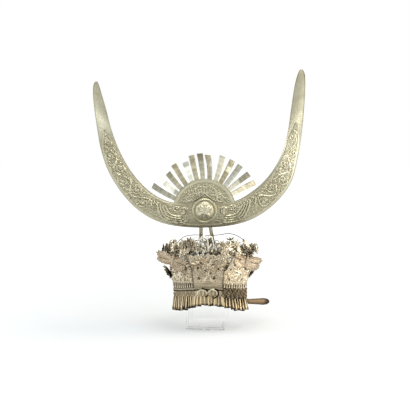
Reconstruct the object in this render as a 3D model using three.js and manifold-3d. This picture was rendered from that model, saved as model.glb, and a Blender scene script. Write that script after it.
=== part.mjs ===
// Horned bridal headdress of thin silver sheet, standing on a clear display box.
// Millimetres, +Z up. The front faces -Y, so +X is on the viewer's right.
// The origin is the middle of the stand's underside.

import * as THREE from "three";
import { mergeVertices } from "three/addons/utils/BufferGeometryUtils.js";
import Module from "manifold-3d";

const wasm = await Module();
wasm.setup();

// Driving dimensions
const GAP = 0.3; // between pieces that are soldered, pinned or hung on each other
const SHEET = 0.8; // thickness of the silver sheet
const WIRE = 2.4; // diameter of the ring wire that carries the flowers

const CROWN = {
  centreX: 5.3,
  rimHalfWidth: 80,
  rimHalfDepth: 90,
  topHalfWidth: 101,
  topHalfDepth: 108,
  flarePower: 1.3,
  flatness: 0.8, // of each plate, from 0 on the oval to 1 straight between its corners
  rimZ: 83, // lower edge of the wall at the sides
  frontArch: 14, // how far that edge rises over the forehead
  topZ: 176, // peak of the front plate
  ringZ: 150, // wire ring inside the wall
};

// A clear box, open at the back. Its top carries the strip that lies across the ring.
const STAND = { width: 84, height: CROWN.ringZ + WIRE / 2, wall: 4, yaw: -8 };

const RIM = { drop: 1, height: 8, thickness: 1.2 };

// The wall plates from the front to the back, those between on both sides: the bearings that they lie between,
// in degrees, the height of their peak as a share of the wall's, that of their shoulders as a share of the peak,
// and how much wider they grow towards the top.
const PLATES = [
  { place: "front", from: -22, to: 22, peak: 1, shoulder: 0.82, spread: 0.22 },
  { place: "fore", from: 24, to: 79, peak: 0.85, shoulder: 0.63, spread: 0 },
  { place: "side", from: 81, to: 117, peak: 0.85, shoulder: 0.66, spread: 0 },
  { place: "rear", from: 119, to: 154.5, peak: 0.85, shoulder: 0.66, spread: 0 },
  { place: "back", from: 156.5, to: 203.5, peak: 0.9, shoulder: 0.66, spread: 0 },
];

const PANEL = {
  ridge: 1.1, // raised border
  dome: 3, // raised middle
  domeHalfWidth: 0.52,
  domeHalfHeight: 0.3,
  domeAt: 0.55,
  holeRadius: 2.2,
};

const HORN = {
  bossX: -7, // the boss is the horn's own origin
  bossZ: 257.3,
  dome: 4, // how far the middle of the strip stands forward of its edges
  ridge: 1, // raised border line
  scroll: 2.4, // raised scrolling body
  scrollWaves: 2.5, // on each side of the boss
  rows: 40,
};

const HALF_DISC = { radius: 70, innerRadius: 14, halfAngle: 97, ridge: 1.6, y: 1.1 };

const RAY = { baseRadius: 57, baseWidth: 8.5, tipWidth: 11.6, y: 2.2, bendFrom: 74 };

const BOSS = { radius: 27.8, rope: 3, dome: 9.6, domeRadius: 21 };

const MOUNT = {
  stripWidth: 12,
  stripThickness: 1.5,
  postWidth: 6.4,
  postThickness: 1.4,
  postY: 1.1,
};

const HOOP = { radius: 0.8, y: -7 };

const DROP = {
  railRadius: 0.9,
  pitch: 9.6,
  chainRadius: 0.8,
  chain: 15,
  neckRadius: 2,
  mouthRadius: 2.9,
  length: 40,
};

const TONGUE = { thickness: 3, y: 16, midZ: 57, halfNeck: 6.4, halfEnd: 8, tipX: 134.9 };

// Sections of the crescent from the left tip round to the right tip, from the boss: the point on the outer
// (lower) edge and the point across from it on the inner (upper) edge.
const HORN_SECTIONS = [
  { outerX: -238.4, outerZ: 283.4, innerX: -233.6, innerZ: 283.9 },
  { outerX: -241.8, outerZ: 276.6, innerX: -230.4, innerZ: 277.8 },
  { outerX: -243.1, outerZ: 260.7, innerX: -225.9, innerZ: 262.9 },
  { outerX: -240.2, outerZ: 221.1, innerX: -214.5, innerZ: 223.3 },
  { outerX: -234.3, outerZ: 177.1, innerX: -203.5, innerZ: 180.4 },
  { outerX: -226.0, outerZ: 133.1, innerX: -188.1, innerZ: 137.5 },
  { outerX: -210.0, outerZ: 86.0, innerX: -165.0, innerZ: 94.6 },
  { outerX: -179.3, outerZ: 37.0, innerX: -135.3, innerZ: 57.6 },
  { outerX: -144.1, outerZ: 1.1, innerX: -102.3, innerZ: 31.9 },
  { outerX: -93.5, outerZ: -26.0, innerX: -67.1, innerZ: 19.0 },
  { outerX: -3.3, outerZ: -36.3, innerX: -1.0, innerZ: 16.5 },
  { outerX: 84.7, outerZ: -25.3, innerX: 64.9, innerZ: 22.0 },
  { outerX: 128.7, outerZ: -4.0, innerX: 100.1, innerZ: 40.7 },
  { outerX: 166.1, outerZ: 28.6, innerX: 129.8, innerZ: 65.5 },
  { outerX: 191.4, outerZ: 66.0, innerX: 153.5, innerZ: 96.0 },
  { outerX: 204.6, outerZ: 115.5, innerX: 170.0, innerZ: 128.7 },
  { outerX: 212.3, outerZ: 166.1, innerX: 181.5, innerZ: 172.0 },
  { outerX: 217.1, outerZ: 221.1, innerX: 188.8, innerZ: 223.3 },
  { outerX: 219.5, outerZ: 275.0, innerX: 197.0, innerZ: 277.2 },
  { outerX: 218.2, outerZ: 300.0, innerX: 203.3, innerZ: 301.0 },
  { outerX: 214.2, outerZ: 309.5, innerX: 207.8, innerZ: 310.0 },
];

// The rays, left to right: their bearing from straight up at the half disc and at the tip, in degrees, the
// tip's distance from the boss, and how far the tip is bent back from the flat.
const RAYS = [
  { base: -68.2, tip: -64.1, reach: 126.5, bend: 3 },
  { base: -58.4, tip: -53.2, reach: 123.0, bend: -5 },
  { base: -47.1, tip: -44.3, reach: 115.5, bend: 2 },
  { base: -35.5, tip: -34.0, reach: 122.0, bend: 5 },
  { base: -23.4, tip: -21.6, reach: 114.6, bend: -4 },
  { base: -14.1, tip: -13.3, reach: 124.7, bend: 2 },
  { base: -2.6, tip: -4.8, reach: 126.0, bend: 4 },
  { base: 9.9, tip: 3.1, reach: 122.5, bend: 6 },
  { base: 21.0, tip: 18.3, reach: 126.3, bend: -2 },
  { base: 30.4, tip: 29.3, reach: 126.3, bend: 5 },
  { base: 40.1, tip: 38.5, reach: 126.7, bend: 1 },
  { base: 49.4, tip: 50.3, reach: 126.7, bend: -3 },
  { base: 59.4, tip: 60.9, reach: 126.9, bend: 3 },
];

// Each flower's wire rises straight past the wall before it leans out.
const STEM_RISE = 19;
const STEM_RADIUS = 0.9;

// Flowers round the top: bearing from the front (positive to the right), length of the leaning wire, how far
// wire and face lean outwards, in degrees, the flower's radius and its petals.
const FLOWERS = [
  { bearing: -98, wire: 10, lean: 68, face: 80, radius: 11, petals: 8 },
  { bearing: -78, wire: 13, lean: 48, face: 66, radius: 12, petals: 7 },
  { bearing: -60, wire: 17, lean: 22, face: 60, radius: 12, petals: 8 },
  { bearing: -42, wire: 22, lean: 8, face: 55, radius: 11, petals: 6 },
  { bearing: -25, wire: 21, lean: 4, face: 60, radius: 10, petals: 8 },
  { bearing: 24, wire: 17, lean: 6, face: 60, radius: 12, petals: 7 },
  { bearing: 42, wire: 21, lean: 8, face: 55, radius: 11, petals: 8 },
  { bearing: 60, wire: 20, lean: 14, face: 58, radius: 12, petals: 6 },
  { bearing: 78, wire: 13, lean: 46, face: 66, radius: 12, petals: 8 },
  { bearing: 98, wire: 11, lean: 62, face: 76, radius: 11, petals: 8 },
  { bearing: 122, wire: 15, lean: 30, face: 62, radius: 12, petals: 7 },
  { bearing: 148, wire: 19, lean: 14, face: 58, radius: 12, petals: 8 },
  { bearing: 180, wire: 17, lean: 18, face: 58, radius: 13, petals: 7 },
  { bearing: -148, wire: 19, lean: 14, face: 58, radius: 12, petals: 8 },
  { bearing: -122, wire: 15, lean: 30, face: 62, radius: 12, petals: 7 },
];

// The large butterflies at the front corners: where they are on the wall and how far out, where their foot
// stands on it and how far the plate is raised there, which way they turn and lean, and their size.
const BUTTERFLIES = [
  {
    side: "left",
    bearing: -53,
    rise: 0.76,
    out: 15,
    foot: { bearing: -51.5, rise: 0.58, raised: 2.7 },
    yaw: -32,
    roll: 5,
    halfSpan: 42,
    halfHeight: 20,
  },
  {
    side: "right",
    bearing: 61,
    rise: 0.77,
    out: 15,
    foot: { bearing: 60, rise: 0.57, raised: 1 },
    yaw: 34,
    roll: 12,
    halfSpan: 36,
    halfHeight: 20,
  },
];

// The spiky flowers at the sides: where on the wall, how far out, how far the plate under the foot is raised,
// and their size.
const SIDE_FLOWERS = [
  { side: "left", bearing: -90, rise: 0.42, out: 8, raised: 1, radius: 19, petals: 10 },
  { side: "right", bearing: 90, rise: 0.44, out: 6, raised: 1, radius: 12, petals: 10 },
];

const SPRAY = { strips: 7, halfAngle: 62, root: 9, reach: 31, lift: 20, tab: 5 };

const SILVER = { color: 0xb9b296, roughness: 0.36, metalness: 0.9 };
const DARK_SILVER = { color: 0x8f8463, roughness: 0.45, metalness: 0.85 };
const LEATHER = { color: 0x5b4629, roughness: 0.7, metalness: 0 };
const ACRYLIC = { color: 0xf2f6f6, roughness: 0.05, metalness: 0, transparent: true, opacity: 0.25 };

// Helpers for closed geometry
const rad = THREE.MathUtils.degToRad;
const { lerp, smoothstep } = THREE.MathUtils;

// Turns points and triangles into a geometry whose faces point outwards.
function closedGeometry(points, triangles) {
  const cross = new THREE.Vector3();
  const sixVolumes = triangles.reduce(
    (sum, [a, b, c]) => sum + points[a].dot(cross.crossVectors(points[b], points[c])),
    0,
  );
  const index = sixVolumes < 0 ? triangles.map(([a, b, c]) => [a, c, b]) : triangles;
  return new THREE.BufferGeometry().setFromPoints(points).setIndex(index.flat());
}

// A sheet with two faces: face(i, j, back) gives the grid point on its front (back 0) or its back (back 1).
function sheetGeometry(columns, rows, face) {
  const points = [];
  const triangles = [];
  const at = (i, j, back) => (back * (rows + 1) + j) * (columns + 1) + i;
  for (const back of [0, 1])
    for (let j = 0; j <= rows; j++) for (let i = 0; i <= columns; i++) points.push(face(i, j, back));
  const quad = (a, b, c, d) => triangles.push([a, b, c], [a, c, d]);
  for (let j = 0; j < rows; j++)
    for (let i = 0; i < columns; i++) {
      quad(at(i, j, 0), at(i + 1, j, 0), at(i + 1, j + 1, 0), at(i, j + 1, 0));
      quad(at(i, j, 1), at(i, j + 1, 1), at(i + 1, j + 1, 1), at(i + 1, j, 1));
    }
  for (let i = 0; i < columns; i++) {
    quad(at(i, 0, 0), at(i, 0, 1), at(i + 1, 0, 1), at(i + 1, 0, 0));
    quad(at(i, rows, 0), at(i + 1, rows, 0), at(i + 1, rows, 1), at(i, rows, 1));
  }
  for (let j = 0; j < rows; j++) {
    quad(at(0, j, 0), at(0, j + 1, 0), at(0, j + 1, 1), at(0, j, 1));
    quad(at(columns, j, 0), at(columns, j, 1), at(columns, j + 1, 1), at(columns, j + 1, 0));
  }
  return closedGeometry(points, triangles);
}

// A tube through rings of points, either closed on itself or capped at both ends.
function loftGeometry(rings, closed) {
  const sides = rings[0].length;
  const triangles = [];
  const last = closed ? rings.length : rings.length - 1;
  for (let k = 0; k < last; k++) {
    const here = k * sides;
    const next = ((k + 1) % rings.length) * sides;
    for (let i = 0; i < sides; i++) {
      const j = (i + 1) % sides;
      triangles.push([here + i, here + j, next + j], [here + i, next + j, next + i]);
    }
  }
  const end = (rings.length - 1) * sides;
  for (let i = 1; !closed && i < sides - 1; i++) {
    triangles.push([0, i + 1, i], [end, end + i, end + i + 1]);
  }
  return closedGeometry(rings.flat(), triangles);
}

// A thin cupped plate round a centre, in its own XY plane with its face to +Z. outline(turn) gives the edge's
// radius and its height, and rise is the height of the middle.
function rosetteGeometry(count, rise, outline) {
  const points = [new THREE.Vector3(0, 0, rise), new THREE.Vector3(0, 0, rise - SHEET)];
  const triangles = [];
  for (let k = 0; k < count; k++) {
    const turn = (k / count) * 2 * Math.PI;
    const { radius, height, stretch = 1 } = outline(turn);
    const [x, y] = [radius * stretch * Math.cos(turn), radius * Math.sin(turn)];
    points.push(new THREE.Vector3(x, y, height), new THREE.Vector3(x, y, height - SHEET));
    const [a, b] = [2 + 2 * k, 2 + 2 * ((k + 1) % count)];
    triangles.push([0, a, b], [1, b + 1, a + 1], [a, a + 1, b + 1], [a, b + 1, b]);
  }
  return closedGeometry(points, triangles);
}

// A straight round rod between two points.
function rodGeometry(from, to, radius, sides) {
  const along = new THREE.Vector3().subVectors(to, from);
  const rod = new THREE.CylinderGeometry(radius, radius, along.length(), sides);
  rod.applyQuaternion(
    new THREE.Quaternion().setFromUnitVectors(new THREE.Vector3(0, 1, 0), along.clone().normalize()),
  );
  return rod.translate(...new THREE.Vector3().addVectors(from, to).multiplyScalar(0.5).toArray());
}

// A flat plate cut to an outline in X and Z, running back from y by its thickness.
function uprightPlate(shape, y, thickness) {
  const plate = new THREE.ExtrudeGeometry(shape, { depth: thickness, bevelEnabled: false, curveSegments: 5 });
  return plate.rotateX(Math.PI / 2).translate(0, y + thickness, 0);
}

function solidOf(geometry) {
  const bare = geometry.clone();
  bare.deleteAttribute("normal");
  bare.deleteAttribute("uv");
  const merged = mergeVertices(bare, 1e-4);
  return new wasm.Manifold(
    new wasm.Mesh({
      numProp: 3,
      vertProperties: merged.attributes.position.array,
      triVerts: new Uint32Array(merged.index.array),
    }),
  );
}

function geometryOf(solid) {
  const { vertProperties, triVerts } = solid.getMesh();
  return new THREE.BufferGeometry()
    .setAttribute("position", new THREE.BufferAttribute(vertProperties, 3))
    .setIndex(new THREE.BufferAttribute(triVerts, 1));
}

const fuse = (...geometries) => geometryOf(geometries.map(solidOf).reduce((a, b) => a.add(b)));
const cut = (geometry, tools) =>
  geometryOf(tools.map(solidOf).reduce((solid, tool) => solid.subtract(tool), solidOf(geometry)));

function named(name, geometry, finish) {
  geometry.computeVertexNormals();
  const mesh = new THREE.Mesh(geometry, new THREE.MeshStandardMaterial(finish));
  mesh.name = name;
  return mesh;
}

// The crown's flared wall. A bearing is in degrees from the front, positive to the right. rise runs from 0 at
// the rim to 1 at the top, and out is measured outwards from the wall's outer face.
const rimZ = (bearing) => CROWN.rimZ + CROWN.frontArch * Math.max(0, Math.cos(rad(bearing))) ** 2;
const riseAt = (bearing, z) => (z - rimZ(bearing)) / (CROWN.topZ - rimZ(bearing));

// Bearings of the wall's corners, in the middle of each seam, from the back left round to the back right.
const seams = PLATES.slice(1).map((plate, k) => (PLATES[k].to + plate.from) / 2);
const CORNERS = [...seams.map((bearing) => -bearing).reverse(), ...seams, 360 - seams.at(-1)];

// Bearings all round the wall, a few to each plate, with every corner among them.
const roundBearings = (perPlate) =>
  CORNERS.slice(1).flatMap((to, k) =>
    Array.from({ length: perPlate }, (_, i) => lerp(CORNERS[k], to, i / perPlate)),
  );

function ovalPoint(bearing, flare, out) {
  const angle = rad(bearing);
  return new THREE.Vector3(
    (lerp(CROWN.rimHalfWidth, CROWN.topHalfWidth, flare) + out) * Math.sin(angle),
    -(lerp(CROWN.rimHalfDepth, CROWN.topHalfDepth, flare) + out) * Math.cos(angle),
    0,
  );
}

function wallPoint(bearing, rise, out) {
  const flare = Math.max(0, rise) ** CROWN.flarePower;
  const k = Math.max(1, CORNERS.findIndex((corner) => corner >= bearing - 1e-9));
  const [from, to] = [CORNERS[k - 1], CORNERS[k]];
  const straight = ovalPoint(from, flare, out).lerp(
    ovalPoint(to, flare, out),
    (bearing - from) / (to - from),
  );
  return ovalPoint(bearing, flare, out)
    .lerp(straight, CROWN.flatness)
    .setZ(lerp(rimZ(bearing), CROWN.topZ, rise));
}

function wallNormal(bearing, rise) {
  const [step, lift] = [0.5, 0.01];
  const across = wallPoint(bearing + step, rise, 0).sub(wallPoint(bearing - step, rise, 0));
  const up = wallPoint(bearing, rise + lift, 0).sub(wallPoint(bearing, rise - lift, 0));
  return across.cross(up).normalize();
}

const ringPoint = (bearing) =>
  wallPoint(bearing, riseAt(bearing, CROWN.ringZ), -SHEET - GAP - WIRE / 2 - 0.4);

// Wall plates
const PANEL_COLUMNS = [-1, -0.88, -0.7, -0.36, 0, 0.36, 0.7, 0.88, 1];
const PANEL_ROWS = [0, 0.19, 0.29, 0.55, 0.8, 0.94, 1];
const PANEL_HOLES = [
  { across: -0.56, up: 0.4 },
  { across: 0.56, up: 0.4 },
  { across: -0.42, up: 0.78 },
  { across: 0.42, up: 0.78 },
];

function panelRelief(across, up) {
  const border = Math.max(
    1 - Math.abs(Math.abs(across) - 0.88) / 0.12,
    1 - Math.abs(up - 0.94) / 0.06,
    1 - Math.abs(up - 0.29) / 0.1,
    0,
  );
  const field = (across / PANEL.domeHalfWidth) ** 2 + ((up - PANEL.domeAt) / PANEL.domeHalfHeight) ** 2;
  const inside = Math.abs(across) <= 0.88 && up > 0.2 ? border : 0;
  return Math.max(PANEL.ridge * inside, PANEL.dome * Math.max(0, 1 - field));
}

// Each plate rises from its shoulders to a pointed peak in a hollow curve.
function panelGeometry({ from, to, peak, shoulder, spread }) {
  const [middle, half] = [(from + to) / 2, (to - from) / 2];
  const rise = (across, up) =>
    up * peak * lerp(shoulder, 1, 0.5 + 0.5 * Math.cos(Math.PI * Math.abs(across) ** 0.75));
  const bearing = (across, up) =>
    middle + across * half * (1 + spread * smoothstep(rise(across, up), 0.62, 1));
  const place = (across, up, out) => wallPoint(bearing(across, up), rise(across, up), out);
  const plate = sheetGeometry(PANEL_COLUMNS.length - 1, PANEL_ROWS.length - 1, (i, j, back) => {
    const [across, up] = [PANEL_COLUMNS[i], PANEL_ROWS[j]];
    return place(across, up, panelRelief(across, up) - back * SHEET);
  });
  const drills = PANEL_HOLES.map(({ across, up }) => {
    const normal = wallNormal(bearing(across, up), rise(across, up)).multiplyScalar(6);
    const at = place(across, up, 0);
    return rodGeometry(at.clone().sub(normal), at.clone().add(normal), PANEL.holeRadius, 4);
  });
  return cut(plate, drills);
}

function makePanels() {
  return PLATES.flatMap((plate) => {
    if (["front", "back"].includes(plate.place)) {
      return [named(`panel_${plate.place}`, panelGeometry(plate), SILVER)];
    }
    const mirrored = { ...plate, from: -plate.to, to: -plate.from };
    return [
      named(`panel_${plate.place}_left`, panelGeometry(mirrored), SILVER),
      named(`panel_${plate.place}_right`, panelGeometry(plate), SILVER),
    ];
  });
}

// Rim and ring wires
function makeRim() {
  const inner = GAP + 0.15;
  const rings = roundBearings(5).map((bearing) => {
    const corner = (height, out) => {
      const z = rimZ(bearing) - RIM.drop + height;
      return wallPoint(bearing, riseAt(bearing, z), out).setZ(z);
    };
    const outer = inner + RIM.thickness;
    return [corner(0, inner), corner(0, outer), corner(RIM.height, outer), corner(RIM.height, inner)];
  });
  return named("rim_band", loftGeometry(rings, true), SILVER);
}

function makeTopRing() {
  const sides = 4;
  const rings = roundBearings(5).map((bearing) => {
    const middle = ringPoint(bearing);
    const outwards = middle.clone().setZ(0).normalize();
    return Array.from({ length: sides }, (_, i) => {
      const turn = (i / sides) * 2 * Math.PI + Math.PI / 2;
      return middle
        .clone()
        .addScaledVector(outwards, (WIRE / 2) * Math.cos(turn))
        .add(new THREE.Vector3(0, 0, (WIRE / 2) * Math.sin(turn)));
    });
  });
  return named("top_ring", loftGeometry(rings, true), DARK_SILVER);
}

// A wire that springs from the ring on the left, passes before the posts and lands on the ring on the right.
function makeHoop() {
  const bearing = 90 - THREE.MathUtils.radToDeg(Math.asin(-HOOP.y / CROWN.topHalfDepth));
  const [left, right] = [ringPoint(-bearing), ringPoint(bearing)];
  const footZ = CROWN.ringZ + WIRE / 2 + GAP;
  const crest = [
    { x: -71, z: 188 },
    { x: -57, z: 200 },
    { x: -38, z: 204 },
    { x: -9, z: 203 },
    { x: 18, z: 204 },
    { x: 42, z: 207 },
    { x: 60, z: 202 },
    { x: 74, z: 191 },
  ];
  const path = new THREE.CatmullRomCurve3([
    new THREE.Vector3(left.x, HOOP.y, footZ),
    new THREE.Vector3(left.x + 3, HOOP.y, footZ + 8),
    ...crest.map(({ x, z }) => new THREE.Vector3(x, HOOP.y, z)),
    new THREE.Vector3(right.x - 3, HOOP.y, footZ + 8),
    new THREE.Vector3(right.x, HOOP.y, footZ),
  ]);
  const section = new THREE.Shape(new THREE.EllipseCurve(0, 0, HOOP.radius, HOOP.radius).getPoints(4).slice(0, 4));
  const wire = new THREE.ExtrudeGeometry(section, { steps: 20, extrudePath: path });
  return named("wire_hoop", wire, DARK_SILVER);
}

// Flowers, butterflies and the spray
const petalEdge = (petals, radius, cup) => (turn) => {
  const wave = 0.5 + 0.5 * Math.cos(petals * turn);
  return { radius: radius * lerp(0.5, 1, wave), height: cup * wave };
};

// Turns a rosette's +Z to face along a direction, and moves it to a place.
function faceAlong(geometry, direction, place) {
  geometry.applyQuaternion(
    new THREE.Quaternion().setFromUnitVectors(new THREE.Vector3(0, 0, 1), direction.clone().normalize()),
  );
  return geometry.translate(place.x, place.y, place.z);
}

function makeFlower({ bearing, wire, lean, face, radius, petals }, k) {
  const outwards = new THREE.Vector3(Math.sin(rad(bearing)), -Math.cos(rad(bearing)), 0);
  const tilted = (angle) =>
    outwards.clone().multiplyScalar(Math.sin(rad(angle))).setZ(Math.cos(rad(angle)));
  const foot = ringPoint(bearing).add(new THREE.Vector3(0, 0, WIRE / 2 + GAP + 0.5));
  const knee = foot.clone().add(new THREE.Vector3(0, 0, STEM_RISE));
  const head = knee.clone().addScaledVector(tilted(lean), wire);
  const bloom = rosetteGeometry(petals * 2, radius * 0.16, petalEdge(petals, radius, radius * 0.4));
  const ring = (at, direction) =>
    faceAlong(new THREE.CircleGeometry(STEM_RADIUS, 4), direction, at);
  const rings = [
    ring(foot, new THREE.Vector3(0, 0, 1)),
    ring(knee, tilted(lean / 2)),
    ring(head.clone().addScaledVector(tilted(face), radius * 0.16 - SHEET / 2), tilted(lean)),
  ].map((circle) =>
    [1, 2, 3, 4].map((i) => new THREE.Vector3().fromBufferAttribute(circle.attributes.position, i)),
  );
  const flower = fuse(faceAlong(bloom, tilted(face), head), loftGeometry(rings, false));
  return named(`flower_${String(k + 1).padStart(2, "0")}`, flower, DARK_SILVER);
}

// Four scalloped wings, the upper pair the larger.
function wingEdge(halfHeight, stretch) {
  return (turn) => {
    const lobe = Math.abs(Math.sin(2 * turn)) ** 0.7;
    const pair = Math.sin(turn) > 0 ? 1 : 0.82;
    const scallop = 1 + 0.05 * Math.cos(14 * turn);
    return {
      radius: halfHeight * 1.25 * lerp(0.46, 1, lobe) * pair * scallop,
      height: 5 * Math.abs(Math.cos(turn)),
      stretch,
    };
  };
}

function makeButterfly({ side, bearing, rise, out, foot, yaw, roll, halfSpan, halfHeight }) {
  const place = wallPoint(bearing, rise, out);
  const turn = new THREE.Quaternion().setFromEuler(
    new THREE.Euler(Math.PI / 2, rad(roll), rad(yaw), "ZYX"),
  );
  const put = (geometry) => geometry.applyQuaternion(turn).translate(place.x, place.y, place.z);
  const wings = rosetteGeometry(24, 0, wingEdge(halfHeight, halfSpan / halfHeight));
  const body = new THREE.SphereGeometry(1, 6, 4).scale(3, halfHeight * 0.8, 2.6);
  const onWall = wallPoint(foot.bearing, foot.rise, foot.raised + GAP);
  return named(
    `butterfly_${side}`,
    fuse(put(wings), put(body), rodGeometry(onWall, place, 1.2, 5)),
    SILVER,
  );
}

function makeSideFlower({ side, bearing, rise, out, raised, radius, petals }) {
  const place = wallPoint(bearing, rise, out);
  const normal = wallNormal(bearing, rise);
  const bloom = rosetteGeometry(petals * 2, 0, petalEdge(petals, radius, radius * 0.22));
  const heart = new THREE.ConeGeometry(radius * 0.3, radius * 0.3, 6).rotateX(Math.PI / 2);
  const onWall = wallPoint(bearing, rise, raised + GAP);
  return named(
    `side_flower_${side}`,
    fuse(
      faceAlong(bloom, normal, place),
      faceAlong(heart, normal, place.clone().addScaledVector(normal, radius * 0.1)),
      rodGeometry(onWall, place, 1.2, 5),
    ),
    DARK_SILVER,
  );
}

// A comb of narrow strips that opens like a tail above the front plate.
function makeSpray() {
  const place = ringPoint(0).add(new THREE.Vector3(0, 0, WIRE / 2 + GAP + SPRAY.lift));
  const points = [];
  const pitch = (2 * SPRAY.halfAngle) / SPRAY.strips;
  const polar = (degrees, radius) =>
    points.push(new THREE.Vector2(radius * Math.sin(rad(degrees)), radius * Math.cos(rad(degrees))));
  for (let k = 0; k < SPRAY.strips; k++) {
    const middle = -SPRAY.halfAngle + (k + 0.5) * pitch;
    const reach = SPRAY.reach - 3 * Math.abs(Math.sin(1.7 * k));
    polar(middle - pitch * 0.32, SPRAY.root);
    polar(middle - pitch * 0.2, reach - 2);
    polar(middle, reach);
    polar(middle + pitch * 0.2, reach - 2);
    polar(middle + pitch * 0.32, SPRAY.root);
  }
  points.push(new THREE.Vector2(SPRAY.tab, -SPRAY.lift), new THREE.Vector2(-SPRAY.tab, -SPRAY.lift));
  const fan = uprightPlate(new THREE.Shape(points), -SHEET / 2, SHEET);
  return named("front_spray", fan.translate(place.x, place.y, place.z), SILVER);
}

// Hanging drops. Each is a short chain, made as a rod, that ends in a bell-mouthed tube.
function fringeGeometry(from, to) {
  const railZ = (bearing) => rimZ(bearing) - RIM.drop - GAP - DROP.railRadius;
  const railPoint = (bearing) => wallPoint(bearing, 0, GAP + RIM.thickness / 2).setZ(railZ(bearing));
  const steps = 10;
  const bearings = Array.from({ length: steps + 1 }, (_, k) => lerp(from, to, k / steps));
  const length = bearings
    .slice(1)
    .reduce((sum, bearing, k) => sum + railPoint(bearing).distanceTo(railPoint(bearings[k])), 0);
  const rail = new THREE.ExtrudeGeometry(
    new THREE.Shape(
      new THREE.EllipseCurve(0, 0, DROP.railRadius, DROP.railRadius).getPoints(4).slice(0, 4),
    ),
    { steps, extrudePath: new THREE.CatmullRomCurve3(bearings.map(railPoint)) },
  );
  const count = Math.floor(length / DROP.pitch);
  const profile = [
    [0, -DROP.length],
    [DROP.mouthRadius, -DROP.length],
    [DROP.neckRadius, -DROP.chain - 2],
    [DROP.chainRadius, -DROP.chain],
    [DROP.chainRadius, 0],
    [0, 0],
  ].map(([radius, height]) => new THREE.Vector2(radius, height));
  const drops = Array.from({ length: count }, (_, k) => {
    const at = railPoint(lerp(from, to, (k + 0.5) / count));
    return new THREE.LatheGeometry(profile, 5)
      .rotateX(Math.PI / 2)
      .translate(at.x, at.y, at.z);
  });
  return fuse(rail, ...drops);
}

function makeFringe() {
  const seam = seams[0];
  return [
    named("fringe_left", fringeGeometry(-105, -seam - 1), DARK_SILVER),
    named("fringe_front", fringeGeometry(-seam + 1, seam - 1), DARK_SILVER),
    named("fringe_right", fringeGeometry(seam + 1, 88), DARK_SILVER),
  ];
}

// The brown tongue at the lower right, hung inside the wall behind the last drop.
function makeTongue() {
  const wall = wallPoint(104, 0, -SHEET - GAP).x + CROWN.centreX;
  const { midZ, halfNeck, halfEnd, tipX } = TONGUE;
  const shape = new THREE.Shape();
  shape.moveTo(wall - 12, CROWN.rimZ + 11);
  shape.lineTo(wall, CROWN.rimZ + 11);
  shape.lineTo(wall, midZ + halfNeck + 3);
  shape.quadraticCurveTo(wall, midZ + halfNeck, wall + 5, midZ + halfNeck);
  shape.quadraticCurveTo(tipX - 26, midZ + halfNeck, tipX - 17, midZ + halfEnd);
  shape.bezierCurveTo(tipX - 5, midZ + halfEnd, tipX, midZ + 5, tipX, midZ);
  shape.bezierCurveTo(tipX, midZ - 5, tipX - 5, midZ - halfEnd, tipX - 17, midZ - halfEnd);
  shape.quadraticCurveTo(tipX - 26, midZ - halfNeck, wall + 5, midZ - halfNeck);
  shape.lineTo(wall - 12, midZ - halfNeck);
  return named("tie_tongue", uprightPlate(shape, TONGUE.y, TONGUE.thickness), LEATHER);
}

// The horns
const edgeCurve = (x, z) =>
  new THREE.CatmullRomCurve3(HORN_SECTIONS.map((row) => new THREE.Vector3(row[x], 0, row[z])));
const outerEdge = edgeCurve("outerX", "outerZ");
const innerEdge = edgeCurve("innerX", "innerZ");

// How strongly the strip is embossed at a station: plain at both tips and under the boss.
const embossed = (station) =>
  smoothstep(station, 0.2, 0.26) *
  (1 - smoothstep(station, 0.76, 0.82)) *
  smoothstep(Math.abs(station - 0.5), 0.03, 0.06);

// Across the strip, from the outer edge at -1 to the inner edge at 1.
function hornColumns(station) {
  const fromBoss = Math.abs(station - 0.5) / 0.3;
  const crest = 0.3 * Math.sin(fromBoss * HORN.scrollWaves * 2 * Math.PI);
  return [-1, -0.86, -0.72, crest - 0.26, crest, crest + 0.26, 0.72, 0.86, 1];
}

function makeHorn() {
  const raised = [0, HORN.ridge, 0, 0, HORN.scroll, 0, 0, HORN.ridge, 0];
  const strip = sheetGeometry(raised.length - 1, HORN.rows, (i, j, back) => {
    const station = j / HORN.rows;
    const across = hornColumns(station)[i];
    const share = (across + 1) / 2;
    const point = outerEdge.getPoint(station).lerp(innerEdge.getPoint(station), share);
    const taper = smoothstep(Math.min(station, 1 - station), 0, 0.06);
    const forward = HORN.dome * taper * (1 - across ** 2) + raised[i] * embossed(station);
    return point.setY(-forward + back * SHEET);
  });
  return named("horn_crescent", strip, SILVER);
}

function makeHalfDisc() {
  const radii = [HALF_DISC.innerRadius, 30, 40, 60, 66, HALF_DISC.radius];
  const raised = [0, 0, 1.4, 0, 1, 0.5];
  const columns = 16;
  const plate = sheetGeometry(columns, radii.length - 1, (i, j, back) => {
    const bearing = rad(lerp(-HALF_DISC.halfAngle, HALF_DISC.halfAngle, i / columns));
    const [x, z] = [radii[j] * Math.sin(bearing), radii[j] * Math.cos(bearing)];
    const clear = smoothstep(z, 26, 32); // above the strip's upper edge
    const flower = j === 2 ? 0.5 + 0.5 * Math.cos(6 * bearing) : 1;
    const forward = HALF_DISC.ridge * raised[j] * flower * clear;
    return new THREE.Vector3(x, HALF_DISC.y - forward + back * SHEET, z);
  });
  return named("half_disc", plate, SILVER);
}

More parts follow.
